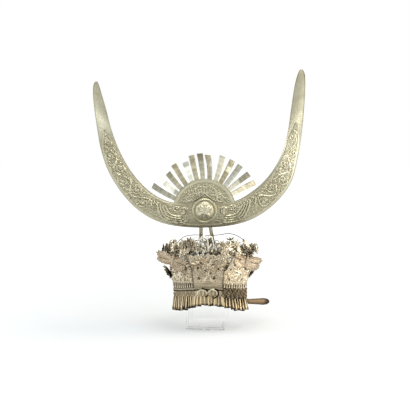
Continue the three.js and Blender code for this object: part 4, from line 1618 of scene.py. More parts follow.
@dataclass
class CrownWires:
    """The rim band, the ring of twisted wire inside the wall, and the arched hoop."""

    wall: Wall
    rim_drop: float = 1.0
    rim_height: float = 4.6
    rim_thickness: float = 1.2
    rim_out: float = GAP + 0.15
    mill_pitch: float = 3.2
    twists: int = 60
    strand_radius: float = 0.62
    strand_shift: float = 0.52
    hoop_radius: float = 0.8
    hoop_y: float = -7.0
    hoop_crest: Table = ((-71, 188), (-57, 200), (-38, 204), (-9, 203), (18, 204), (42, 207), (60, 202), (74, 191))

    def rim(self) -> Piece:
        """Rolls the rim band up its face and down its back, with milled edges, and ridged over the brow.

        Returns:
            The band.
        """
        wall = self.wall
        turns = np.linspace(wall.corners[0], wall.corners[-1], 4001) + wall.turn
        length = lengths(wall.points(turns, 0.0, 0.0)[:, :2])
        sheet = Sheet.lay("rim_strip", (480, 20))
        run, loop = (sheet.x + 1) / 2 * length[-1], sheet.share
        bearing, face = np.interp(run, length, turns), loop < 0.5
        up = np.where(face, loop * 2, 2 - loop * 2)
        level = wall.rim_at(bearing) - self.rim_drop + up * self.rim_height
        brow = 1 - ease(abs(bearing - wall.turn), 22.4, 23.4)
        edge = np.maximum(bump(up - 0.12, 0.09), bump(up - 0.88, 0.09))
        milled = edge * (0.5 + 0.5 * np.cos(2 * np.pi * run / self.mill_pitch)) * (1 - brow)
        lines = (0.5 - 0.5 * np.cos(2 * np.pi * 3 * up)) ** 2 * brow
        roll = np.clip(np.minimum(up, 1 - up) / 0.06, 0, 1)
        proud = self.rim_thickness * roll + 0.3 * milled + 0.15 * edge * (1 - brow) + 0.4 * lines
        points = wall.points(bearing, wall.rise_at(bearing, level), self.rim_out + face * proud)
        points[:, 2] = level
        # The band is painted darker towards its lower edge as shade under its roll, and paler on the right as light
        # from the warm key light
        plain = 0.4 * ease(up, 0.1, 0.35) + 0.3 * milled + 0.14 * (bearing > 0)
        raised = lerp(plain, (0.3 + 0.3 * lines) * ease(up, 0.3, 0.5), brow)
        return sheet.shape(points, raised, thickness=0, closed=True)

    def ring(self) -> Piece:
        """Twists two wires into the ring.

        Returns:
            The ring.
        """
        turns = np.linspace(self.wall.corners[0], self.wall.corners[-1], 481)[:-1]
        middle = np.array([self.wall.ring_point(bearing) for bearing in turns])
        out = columns(np.sin(np.radians(turns)), -np.cos(np.radians(turns)), 0)
        heap = Heap()
        for phase in (0.0, math.pi):
            twist = 2 * np.pi * self.twists * np.arange(len(turns)) / len(turns) + phase
            path = middle + self.strand_shift * (out * np.cos(twist)[:, None] + columns(0, 0, np.sin(twist)))
            heap.add(Stamp.take(draw_wire(path, self.strand_radius, 6, closed=True)))
        return heap.make("ring_wire", 60)

    def hoop(self) -> Piece:
        """Bends the hoop that springs from the ring and passes before the posts.

        Returns:
            The hoop.
        """
        bearing = 90 - math.degrees(math.asin(-self.hoop_y / self.wall.top_half_depth))
        left, right = self.wall.ring_point(-bearing), self.wall.ring_point(bearing)
        foot = self.wall.ring_z + WIRE / 2 + GAP
        nodes = [(left.x, foot), (left.x + 3, foot + 8)]
        nodes += [(x + self.wall.centre_x, z) for x, z in self.hoop_crest]
        nodes += [(right.x - 3, foot + 8), (right.x, foot)]
        path = smooth_path([(x, self.hoop_y, z) for x, z in nodes], np.linspace(0, 1, 121))
        wire = draw_wire(path, self.hoop_radius, name="hoop_wire")
        paint(wire, 0.15)
        return wire

    def build(self, silver: Material, dark: Material) -> None:
        """Makes and dresses the band and the wires."""
        settle(self.rim(), silver, Slot.SILVER, "rim_band")
        settle(self.ring(), dark, Slot.DARK, "top_ring")
        settle(self.hoop(), dark, Slot.DARK, "wire_hoop")


@dataclass
class HornMount:
    """The flat strip across the ring and the two posts that carry the horns, each with its foot's and top's place."""

    wall: Wall
    strip_width: float = 12.0
    strip_low: float = 151.5
    strip_high: float = 153.0
    strip_y: float = 1.8
    strip_over: float = 1.2
    post_width: float = 8.2
    post_y: tuple[float, float] = (1.1, 2.5)
    post_sunk: float = 0.4
    post_top: float = 248.0
    foot_width: float = 3.4
    waist: tuple[float, float] = (180.0, 190.0)
    posts: Table = ((-14.7, -14.7), (19.2, 0.3))
    edge: float = 0.1

    def bar(self, low: Sequence[float], high: Sequence[float], shift: float = 0.0) -> Stamp:
        """Forges a flat bar from a cube, with its edges rounded.

        Args:
            low: Its lower left front corner.
            high: Its upper right back corner.
            shift: How far its top leans to the right.

        Returns:
            The bar.
        """
        obj = add_object("bar", bpy.ops.mesh.primitive_cube_add, size=2)
        share = (read_points(obj) + 1) / 2
        points = lerp(np.array(low), np.array(high), share)
        points[:, 0] += shift * share[:, 2]
        write_points(obj, points)
        in_edit_mode(obj, bpy.ops.mesh.subdivide, number_cuts=10)
        round_edges(obj, self.edge)
        paint(obj, 0.62)
        return Stamp.take(obj)

    def build(self, material: Material) -> None:
        """Makes and dresses the strip and its posts as one piece.

        Args:
            material: The finish.
        """
        middle, half = self.wall.centre_x, self.strip_width / 2
        reach = self.wall.ring_point(90).x - middle + self.strip_over
        low, high = ((middle + s * reach, self.strip_y + s * half) for s in (-1, 1))
        heap = Heap()
        heap.add(self.bar((*low, self.strip_low), (*high, self.strip_high)))
        half, base = self.post_width / 2, self.strip_low + self.post_sunk
        for foot, top in self.posts:
            low, high = (foot - half, self.post_y[0], base), (foot + half, self.post_y[1], self.post_top)
            post = self.bar(low, high, top - foot)
            across, _, level = post.points.T
            line = lerp(foot, top, (level - base) / (self.post_top - base))
            narrow = lerp(self.foot_width / self.post_width, 1.0, ease(level, *self.waist))
            post.points[:, 0] = line + (across - line) * narrow
            heap.add(post)
        settle(heap.make("horn_mount_bars"), material, Slot.DARK, "horn_mount")


# Flowers, butterflies and the spray


@dataclass(frozen=True)
class Flower:
    """One wired flower: where it stands, how its wire and face lean, its size and shape, and how pale it is, which
    paints in how it is lit.
    """

    bearing: float
    wire: float
    lean: float
    face: float
    radius: float
    petals: int
    bloom: Bloom
    pale: float = 0.0


@dataclass
class Flowers:
    """The flowers on their wires, with narrow leaves and curled tendrils, round the top of the crown.

    A leaf has its share of the way up the wire, its side and its size.
    """

    wall: Wall
    stem_rise: float = 15.0
    stem_radius: float = 0.7
    tendril_radius: float = 0.45
    pearl_radius: float = 1.9
    leaves: Table = ((0.15, 1, 9.5), (0.5, -1, 10.5), (0.8, 1, 8.5))
    flowers: tuple[Flower, ...] = (
        # The last value is painted light: flowers in shade at the far sides darker, lit ones at the front paler
        Flower(-98, 17.5, 78, 80, 11, 8, Bloom.STAR, -0.5),
        Flower(-78, 13, 48, 72, 12, 7, Bloom.ROSE, -0.5),
        Flower(-60, 16, 22, 70, 12, 8, Bloom.STAR, 0.3),
        Flower(-42, 26, 6, 72, 11, 8, Bloom.STAR, 0.1),
        Flower(-25, 26, 4, 74, 11, 8, Bloom.STAR, -0.05),
        Flower(24, 20, 0, 60, 12, 7, Bloom.LILY, 0.45),
        Flower(42, 26, 2, 72, 11, 8, Bloom.STAR, 0.2),
        Flower(60, 17, 14, 70, 12, 6, Bloom.ROSE, 0.35),
        Flower(78, 13, 46, 74, 12, 8, Bloom.ROSE, -0.15),
        Flower(98, 18, 70, 80, 11, 8, Bloom.STAR, -0.35),
        Flower(122, 9, 34, 62, 12, 7, Bloom.ROSE),
        Flower(148, 11, 20, 58, 12, 8, Bloom.STAR),
        Flower(180, 7, 36, 62, 12, 7, Bloom.ROSE, 0.1),
        Flower(-148, 11, 20, 58, 12, 8, Bloom.STAR),
        Flower(-122, 9, 34, 62, 12, 7, Bloom.ROSE),
    )

    def __post_init__(self) -> None:
        """Makes the petals and the pearl, and says how each kind of flower is layered."""
        self.star = self.petal(0.18, 0.32, 0.95)
        self.rounded = self.petal(0.36, 0.34, 0.55, 0.42)
        self.long = self.petal(0.15, 0.3, 0.75, 0.34)
        ball = {"segments": 10, "ring_count": 7, "radius": self.pearl_radius * MM}
        pearl = add_object("pearl", bpy.ops.mesh.primitive_uv_sphere_add, **ball)
        write_points(pearl, read_points(pearl) / MM * (1, 1, 0.8))
        paint(pearl, 0.75)
        self.pearl = Stamp.take(pearl)
        self.layers = {
            Bloom.STAR: ((self.star, 1.0, 0.0), (self.star, 0.62, 1.4)),
            Bloom.ROSE: ((self.rounded, 1.0, 0.0), (self.rounded, 0.66, 1.2), (self.star, 0.4, 2.0)),
            Bloom.LILY: ((self.long, 1.15, 0.0), (self.long, 0.9, 1.6)),
        }

    @staticmethod
    def petal(width: float, cup: float, tip: float, broad: float = 0.3) -> Stamp:
        """Models one petal of unit length along +X, facing +Z.

        Args:
            width: Half its width, as a share of its length.
            cup: How far its tip stands up, as a share of its length.
            tip: How pointed it is: 1 is round, and more is sharper.
            broad: Where along it the petal is broadest.

        Returns:
            The petal, for copying.
        """
        power = math.log(0.5) / math.log(broad + 0.15)
        sheet = Sheet.lay("petal", (2, 6))
        x, t = sheet.x, sheet.share
        half = width * np.clip(np.sin(np.pi * np.clip(t, 0, 1) ** power), 0, 1) ** tip + 0.02
        rise = cup * t**2 - 0.1 * t + 0.25 * width * (x**2 - 0.3) * np.sin(np.pi * t)
        raised = 0.3 + 0.55 * t - 0.35 * (1 - abs(x)) * (t < 0.6)
        return Stamp.take(sheet.shape(columns(t, x * half, rise), raised, UP, 0.05))

    def head(self, heap: Heap, flower: Flower, place: Vector, looks: Vector) -> None:
        """Sets a flower's petals and heart on its wire.

        Args:
            heap: Takes them.
            flower: The flower.
            place: The wire's end.
            looks: Where the flower faces.
        """
        for layer, (petal, share, lift) in enumerate(self.layers[flower.bloom]):
            count = max(5, flower.petals - layer)
            sizes = 1.12 * flower.radius * share * (1 + 0.09 * np.sin(2.7 * np.arange(count) + flower.bearing))
            pose = looks, place + looks * lift, math.pi * layer / count
            heap.whorl(petal, sizes, pose, flower.pale - 0.12 * layer)
        heap.add(self.pearl, turned_to(looks, place + looks * (1.6 + flower.radius * 0.1)), flower.pale)

    def sprig(self, flower: Flower, name: str) -> Piece:
        """Makes one flower with its wire, leaves and tendril.

        Args:
            flower: The flower.
            name: The piece's name.

        Returns:
            The piece.
        """
        outwards, across = compass(flower.bearing)
        looks = tilted(outwards, flower.face)
        foot = self.wall.ring_point(flower.bearing) + UP * (WIRE / 2 + GAP + 0.5)
        knee = foot + UP * self.stem_rise
        head = knee + tilted(outwards, flower.lean) * flower.wire
        nodes = [foot, foot.lerp(knee, 0.6), knee, knee.lerp(head, 0.5), head + looks * 0.6]
        heap = Heap()
        heap.wire(smooth_path(nodes, np.linspace(0, 1, 17)), self.stem_radius, 6, -0.3)
        self.head(heap, flower, head, looks)
        for k, (share, side, size) in enumerate(self.leaves):
            way = across * side + UP * 0.9 + outwards * (0.25 + 0.1 * k)
            heap.add(self.long, laid_along(way, knee.lerp(head, share), size), flower.pale - 0.2)
        coil = self.tendril(knee, across if flower.bearing < 0 else -across)
        heap.wire(coil, self.tendril_radius, 6, -0.25)
        return heap.make(name)

    @staticmethod
    def tendril(knee: Vector, way: Vector) -> Array:
        """Draws the coil of a thin wire that leaves a flower's stem to one side.

        Args:
            knee: The stem's bend.
            way: The side that it leaves to.

        Returns:
            The wire's points.
        """
        t = np.linspace(0, 1, 40)
        radius, turn = 4.2 * (1 - 0.6 * t), 2 * np.pi * 1.6 * t
        coil = np.outer(6.5 - radius * np.cos(turn), way) + np.outer(8 + radius * np.sin(turn), UP)
        return np.array(knee) + np.vstack([UP * 0.5, coil])

    def build(self, material: Material) -> None:
        """Makes and dresses every flower."""
        for k, flower in enumerate(self.flowers, 1):
            settle(self.sprig(flower, f"sprig_{k:02d}"), material, Slot.DARK, f"flower_{k:02d}")


@dataclass
class Foliage:
    """Leaves, buds and small blossoms on short wires, which fill the ring between the flowers.

    The spans are those of a tuft's rise, reach, lean, face, tint, size and spin.
    """

    wall: Wall
    plates: CrownPlates
    flowers: Flowers
    count: int = 200
    bare: float = 17.0
    leaves: int = 15
    clear: float = 1.5
    stalk: float = 0.5
    spans: Table = ((0.0, 21.0), (3.0, 12.0), (0, 80), (45, 95), (-0.95, 0.7), (5.5, 9.0), (0, 6.28))

    def build(self, material: Material) -> None:
        """Makes and dresses the foliage as one piece.

        Args:
            material: The finish.
        """
        chance = np.random.default_rng(5)
        heap = Heap()
        for k in range(self.count):
            turn = 2 * (k + 0.5) / self.count - 1
            bearing = 180 * math.copysign(abs(turn) ** 1.25, turn) + chance.uniform(-1.4, 1.4)
            draws = [chance.uniform(*span) for span in self.spans]
            if abs(bearing - self.wall.turn) >= self.bare:
                self.tuft(heap, k, bearing, draws, chance)
        self.front(heap)
        settle(heap.make("foliage"), material, Slot.DARK)

    def tuft(
        self, heap: Heap, k: int, bearing: float, draws: Sequence[float], chance: np.random.Generator
    ) -> None:
        """Sets one small blossom with three leaves on a wire.

        Args:
            heap: Takes the tuft.
            k: Its number, which sets its kind.
            bearing: Where it stands on the ring.
            draws: A value in each of the spans.
            chance: Makes the leaves' draws.
        """
        rise, reach, lean, face, tint, size, spin = draws
        back = ease(abs(bearing), 95, 125)
        tint += 0.45 * (abs(bearing) < 50)
        outwards, across = compass(bearing)
        foot = self.wall.ring_point(bearing) + UP * (WIRE / 2)
        over = max(3.0, self.plates.top_at(bearing) + self.clear - foot.z)
        knee = foot + UP * (rise * (1 - 0.7 * back) + over)
        tip = knee + tilted(outwards, lean) * (reach * (1 - 0.4 * back)) + across * chance.uniform(-4, 4)
        path = smooth_path([foot, foot.lerp(knee, 0.6), knee, tip], np.linspace(0, 1, 8))
        heap.wire(path, self.stalk, 4, -0.4)
        looks = tilted(outwards, face)
        petal = self.flowers.star if k % 4 else self.flowers.rounded
        heap.whorl(petal, [size] * (5 + k % 3), (looks, tip, spin), tint)
        heap.add(self.flowers.pearl, turned_to(looks, tip + looks * 1.2, size=0.7), tint)
        for side in (-1, 1, -1):
            at = knee.lerp(tip, chance.uniform(-0.6, 0.7))
            way = across * side * chance.uniform(0.3, 1.3) + UP * chance.uniform(-0.5, 1.2) + outwards * 0.4
            pose = laid_along(way, at, chance.uniform(9.0, 14.0))
            heap.add(self.flowers.long, pose, tint + chance.uniform(-0.35, 0.3))

    def front(self, heap: Heap) -> None:
        """Sets a row of leaves on short stalks over the front plate's edge.

        Args:
            heap: Takes the leaves and stalks.
        """
        for k in range(self.leaves):
            bearing = self.wall.turn + (2 * k / (self.leaves - 1) - 1) * self.bare
            foot = self.wall.ring_point(bearing) + UP * (WIRE / 2)
            rise = self.plates.top_at(bearing) - foot.z + 5 * abs(math.sin(2.4 * k)) - 3
            top = foot + UP * max(2.0, rise)
            heap.wire(np.linspace(foot, top + UP, 4), self.stalk, 4, -0.4)
            for side in (-1, 1):
                way = Vector((side * (0.5 + 0.4 * math.sin(1.9 * k)), -0.3, 0.7 + 0.3 * math.sin(3.1 * k)))
                pose = laid_along(way, top, 10 + 2.5 * math.sin(2.7 * k + side))
                heap.add(self.flowers.long, pose, 0.7 if (k + side) % 3 else -0.4)


@dataclass(frozen=True)
class Butterfly:
    """Where a butterfly stands before the wall, its spring's foot, how it turns and leans, and its size."""

    side: Side
    bearing: float
    rise: float
    out: float
    foot: tuple[float, float, float]
    yaw: float
    roll: float
    half_span: float
    half_height: float


@dataclass
class Butterflies:
    """The two large butterflies on springs at the front corners."""

    wall: Wall
    feeler: float = 0.42
    wire: float = 0.4
    coil: float = 1.5
    coils: int = 6
    outline: Table = (
        (0.0, 0.42), (0.25, 0.66), (0.55, 0.83), (0.84, 0.84), (1.0, 0.6), (0.97, 0.34), (0.88, 0.12),
        (0.92, -0.14), (0.88, -0.48), (0.7, -0.76), (0.42, -0.92), (0.15, -0.84), (0.0, -0.58),
    )
    pair: tuple[Butterfly, ...] = (
        Butterfly(Side.LEFT, -58, 0.74, 12, (-51.5, 0.58, 2.7), -26, 13, 41, 19),
        Butterfly(Side.RIGHT, 54, 0.74, 12, (57, 0.57, 1.0), 26, 17, 35, 18.5),
    )

    def wings(self, fly: Butterfly) -> Stamp:
        """Cuts and veins the four wings, round the body and out to their scalloped edge.

        Args:
            fly: The butterfly, whose outer wings are folded.

        Returns:
            The wings, flat before the camera's turn.
        """
        half, left = np.array(self.outline), fly.side is Side.LEFT
        loop = np.vstack([half, half[-2::-1] * (-1, 1)])
        sheet = Sheet.lay("wings", (112, 26))
        reach, line = sheet.share, smooth_path(loop, (sheet.x + 1) / 2)
        angle = np.arctan2(line[:, 1], line[:, 0])
        x, y = (line * (1 + 0.045 * np.cos(26 * angle))[:, None] * reach[:, None]).T
        outer = x * fly.side.value > 0
        folded = np.where(y < 0, 0.62, 1.0) if left else np.where(y > 0, 0.65, 0.9)
        x, y = x * np.where(outer & left, 0.9, 1.0), y * np.where(outer == left, folded, 1.0)
        veins = (0.5 + 0.5 * np.cos(22 * angle)) ** 5 * ease(reach, 0.15, 0.4) * (1 - ease(reach, 0.86, 0.95))
        rim = bump(reach - 0.93, 0.035)
        spots = bump(reach - 0.74, 0.06) * (0.5 - 0.5 * np.cos(22 * angle)) ** 4
        notch = bump(y - 0.1 * abs(x), 0.045) * ease(abs(x), 0.1, 0.3)
        lift = (11 if left else 4) * abs(x) ** 1.2 + 0.35 * np.sin(60 * reach) * ease(reach, 0.3, 0.5)
        z = lift + 0.7 * veins + 0.6 * rim + 0.9 * spots - 0.5 * notch
        raised = 0.6 + 0.2 * (veins + rim) - 0.25 * bump(reach - 0.86, 0.035) + 0.15 * spots - 0.4 * notch
        # The wing's rim is painted dark as its shadow on the plate below; the left inner wing is darker as painted
        # shade, the right butterfly paler as painted light
        raised += (-0.22 * ease(x, -0.1, 0.3) if left else 0.1) - 0.5 * ease(reach, 0.91, 0.97)
        points = columns(x * fly.half_span, y * fly.half_height, z)
        return Stamp.take(sheet.shape(points, raised, UP, closed=True))

    @staticmethod
    def body(fly: Butterfly) -> Stamp:
        """Models the ringed body between the wings.

        Args:
            fly: The butterfly.

        Returns:
            The body.
        """
        ball = {"segments": 14, "ring_count": 24, "radius": MM}
        obj = add_object("insect_body", bpy.ops.mesh.primitive_uv_sphere_add, **ball)
        x, y, z = (read_points(obj) / MM).T
        rings = 1 + 0.12 * np.cos(z * 22)
        write_points(obj, columns(x * 3.0 * rings, z * fly.half_height * 0.8, y * 2.6 * rings))
        turn_outwards(obj)
        paint(obj, 0.55 + 1.5 * (rings - 1))
        return Stamp.take(obj)

    def spring(self, fly: Butterfly, place: Vector) -> Array:
        """Draws the spring that carries the butterfly from its plate.

        Args:
            fly: The butterfly.
            place: Its middle.

        Returns:
            The points of the spring's wire.
        """
        bearing, rise, raised = fly.foot
        foot = self.wall.point(bearing, rise, raised + GAP)
        axis = (place - foot).normalized()
        side = axis.orthogonal().normalized()
        t = np.linspace(0, 1, 90)
        turn = 2 * np.pi * self.coils * t
        coils = np.outer(np.cos(turn), side) + np.outer(np.sin(turn), axis.cross(side))
        return np.array(foot) + np.outer(t, place - foot) + self.coil * coils

    def make(self, fly: Butterfly) -> Piece:
        """Joins one butterfly's wings, body, feelers and spring.

        Args:
            fly: The butterfly.

        Returns:
            The piece.
        """
        place = self.wall.point(fly.bearing, fly.rise, fly.out)
        pose = Matrix.Translation(place)
        for angle, axis in ((fly.yaw, "Z"), (fly.roll, "Y"), (90, "X")):
            pose = pose @ Matrix.Rotation(math.radians(angle), 4, axis)
        heap = Heap()
        heap.add(self.wings(fly), pose)
        heap.add(self.body(fly), pose)
        t = np.linspace(0, 1, 24)
        for side in (-1, 1):
            x, y = side * (1 + 7 * t + 1.2 * np.sin(9 * t) * t), fly.half_height * 0.7 + 9 * t - 2.5 * t**3
            heap.wire(columns(x, y, 2 + 3 * t + 1.2 * np.cos(9 * t) * t), self.feeler, 6, -0.2, pose)
        heap.wire(self.spring(fly, place), self.wire, 6, -0.3)
        return heap.make(f"butterfly_wings_{fly.side.name.lower()}")

    def build(self, material: Material) -> None:
        """Makes and dresses both butterflies."""
        for fly in self.pair:
            settle(self.make(fly), material, Slot.SILVER, f"butterfly_{fly.side.name.lower()}")


@dataclass
class SideFlowers:
    """The dark spiky flowers that stand out from the sides, seen edge on from the front.

    A row has the side, the bearing, the rise, how far out the flower and its stem's foot are, and the radius. A layer
    has its share of the radius and its lift.
    """

    wall: Wall
    flowers: Flowers
    rows: tuple[tuple[Side, float, float, float, float, float], ...] = (
        (Side.LEFT, -90, 0.42, 6, 1, 20),
        (Side.RIGHT, 90, 0.41, 8, 1, 15),
    )
    layers: Table = ((1.0, 0.0), (0.72, 1.6), (0.46, 3.0))
    petals: int = 10
    droop: float = 0.42
    stem_radius: float = 1.2

    def build(self, material: Material) -> None:
        """Makes and dresses both flowers.

        Args:
            material: The finish.
        """
        for side, bearing, rise, out, foot, radius in self.rows:
            place = self.wall.point(bearing, rise, out)
            looks = (self.wall.normal(bearing, rise) - UP * self.droop).normalized()
            heap = Heap()
            for layer, (share, lift) in enumerate(self.layers):
                pose = looks, place + looks * lift, math.pi * layer / self.petals
                heap.whorl(self.flowers.star, [radius * share] * self.petals, pose, -0.3)
            heap.add(self.flowers.pearl, turned_to(looks, place + looks * 4.2, size=1.2), -0.2)
            stem = np.array([self.wall.point(bearing, rise, foot + GAP), place + looks * 0.5])
            heap.wire(stem, self.stem_radius, 8, -0.3)
            name = side.name.lower()
            settle(heap.make(f"side_bloom_{name}"), material, Slot.DARK, f"side_flower_{name}")


@dataclass
class Spray:
    """The combs of narrow strips that open above the front plate, with looped wires among them.

    A strip has its lean and its reach. A loop has its bearing, its height, its radius, the side that it turns to,
    its wire's radius and its tone.
    """

    wall: Wall
    lift: float = 23.0
    tab: float = 5.0
    half_width: float = 0.9
    scroll: float = 4.4
    side_bearing: float = 9.5
    main: Table = ((-62, 27), (-49, 31), (-36, 32), (-23, 31), (-9, 30), (6, 29), (22, 25))
    side: Table = ((-32, 17), (-13, 20), (6, 19), (25, 20), (44, 17))
    loops: Table = (
        (-25, 49, 8.0, 1, 1.2, 0.5), (-22, 46, 5.2, 1, 0.7, -0.9), (-27, 36, 5.5, 1, 0.9, 0.4),
        (-4.3, 54, 6.6, -1, 1.3, 0.5), (-5.6, 50, 4.2, -1, 0.7, -0.9), (2.7, 54, 5.5, -1, 1.3, 0.5),
        (2, 49, 3.6, -1, 0.7, -0.9), (-15, 42, 5.0, 1, 1.0, 0.4), (5.5, 46, 5.0, 1, 0.7, -0.9),
        (-19, 35, 4.5, 1, 0.7, -0.9), (6.8, 38, 4.6, -1, 0.9, 0.4), (-2, 40, 5.0, 1, 0.7, -0.9),
        (-11, 46, 4.6, 1, 1.0, 0.5), (-9, 36, 4.0, -1, 0.7, -0.9), (15, 40, 5.0, 1, 1.0, 0.4),
        (22.5, 45, 4.8, 1, 1.3, 0.5), (26.7, 40, 4.6, -1, 0.9, -0.9), (31.7, 45, 4.6, 1, 1.3, 0.5),
        (35.5, 39, 4.2, -1, 0.9, -0.9), (38.5, 43, 4.4, 1, 1.2, 0.5),
    )

    def line(self, lean: float, reach: float) -> Array:
        """Draws one strip in the comb's plane, from its root out to the scroll at its tip.

        Args:
            lean: How far it leans to the right.
            reach: How far from its root the scroll begins.

        Returns:
            The points of its middle line.
        """
        c, s, hand = cosd(lean), sind(lean), 1 if lean > 0 else -1
        way, across = np.array([s, c]), np.array([c, -s]) * hand
        t, turn = np.linspace(0, 1, 12)[:-1], np.radians(np.linspace(0, 300, 26))
        size = self.scroll * (1 - 0.5 * turn / turn[-1])
        stem = np.outer(reach * t, way) + np.outer(-2.0 * np.sin(np.pi * t), across)
        scroll = np.outer(reach + size * np.sin(turn), way) + np.outer(size[0] - size * np.cos(turn), across)
        return np.vstack([stem, scroll])

    def comb(self, heap: Heap, bearing: float, strips: Table) -> None:
        """Cuts one comb of strips, which bow backwards from a tab on the ring.

        Args:
            heap: Takes the strips and the tab.
            bearing: Where the comb stands on the ring.
            strips: Each strip's lean and reach.
        """
        base = np.array(self.wall.ring_point(bearing)) + (0, -0.4, WIRE / 2 + GAP + self.lift)
        for k, (lean, reach) in enumerate(strips):
            path = self.line(lean, reach)
            step, marks = np.gradient(path, axis=0), np.arange(len(path))
            edge = columns(-step[:, 1], step[:, 0]) / np.linalg.norm(step, axis=1)[:, None]
            sheet = Sheet.lay("strip", (4, 36))
            x, t = sheet.x, sheet.share
            middle, normal = (read_rows(table, marks, t * marks[-1]) for table in (path, edge))
            across, up = (middle + normal * (x * self.half_width * (1 - 0.5 * ease(t, 0.85, 1)))[:, None]).T
            bow = 7.0 * ease(t, 0.0, 0.5) - 3.0 * ease(t, 0.5, 1.0)
            raised = (0.25 if k % 2 else 0.95) - 0.2 * (1 - abs(x))
            heap.add(Stamp.take(sheet.shape(base + columns(across, bow, up), raised, thickness=0.5)))
        sheet = Sheet.lay("tab", (6, 12))
        x, t = sheet.x, sheet.share
        tab = columns(x * lerp(self.tab, 3.0, ease(t, 0.4, 1.0)), 0.6 * x**2, lerp(-self.lift, 2.0, t))
        heap.add(Stamp.take(sheet.shape(base + tab, 0.4 + 0.2 * abs(x))))

    def loop(self, bearing: float, height: float, radius: float, side: int) -> Array:
        """Draws a wire that sways up from the ring and loops over.

        Args:
            bearing: Where it stands on the ring.
            height: How high the loop begins.
            radius: The loop's radius.
            side: -1 if it turns to the left, or 1.

        Returns:
            The wire's points.
        """
        foot = np.array(self.wall.ring_point(bearing)) + (0, 0, WIRE / 2)
        s, angle = np.linspace(0, 1, 12), np.radians(np.linspace(180, -60, 24))[1:]
        stem = foot + columns(side * 2.2 * np.sin(2 * np.pi * s), 3.0 * s, height * s)
        bow = stem[-1] + columns(side * radius * (1 + np.cos(angle)), 0.8, radius * np.sin(angle))
        return np.vstack([stem, bow])

    def build(self, pale: Material) -> None:
        """Makes and dresses the combs and the wires.

        Args:
            pale: The finish.
        """
        spray, wires = Heap(), Heap()
        self.comb(spray, self.wall.turn, self.main)
        settle(spray.make("spray_strips"), pale, Slot.SILVER, "front_spray")
        self.comb(wires, self.side_bearing, self.side)
        for *bend, wire, tone in self.loops:
            wires.wire(self.loop(*bend), wire, 6, tone)
        settle(wires.make("wire_curls", 60), pale, Slot.SILVER)


# The fringe, the tongue and the stand


@dataclass(frozen=True)
class FringeRun:
    """One run of drops: its bearings, lengths of chain and drop, spacing, tones, girth, splay and what it hangs on.

    The tones are those of a drop's top and foot and how much darker the row behind is; that darker row is painted shade
    between the front drops.
    """

    name: str
    start: float
    end: float
    chain: float
    length: float
    pitch: float
    tones: tuple[float, float, float]
    girth: float
    splay: float
    kind: Hang


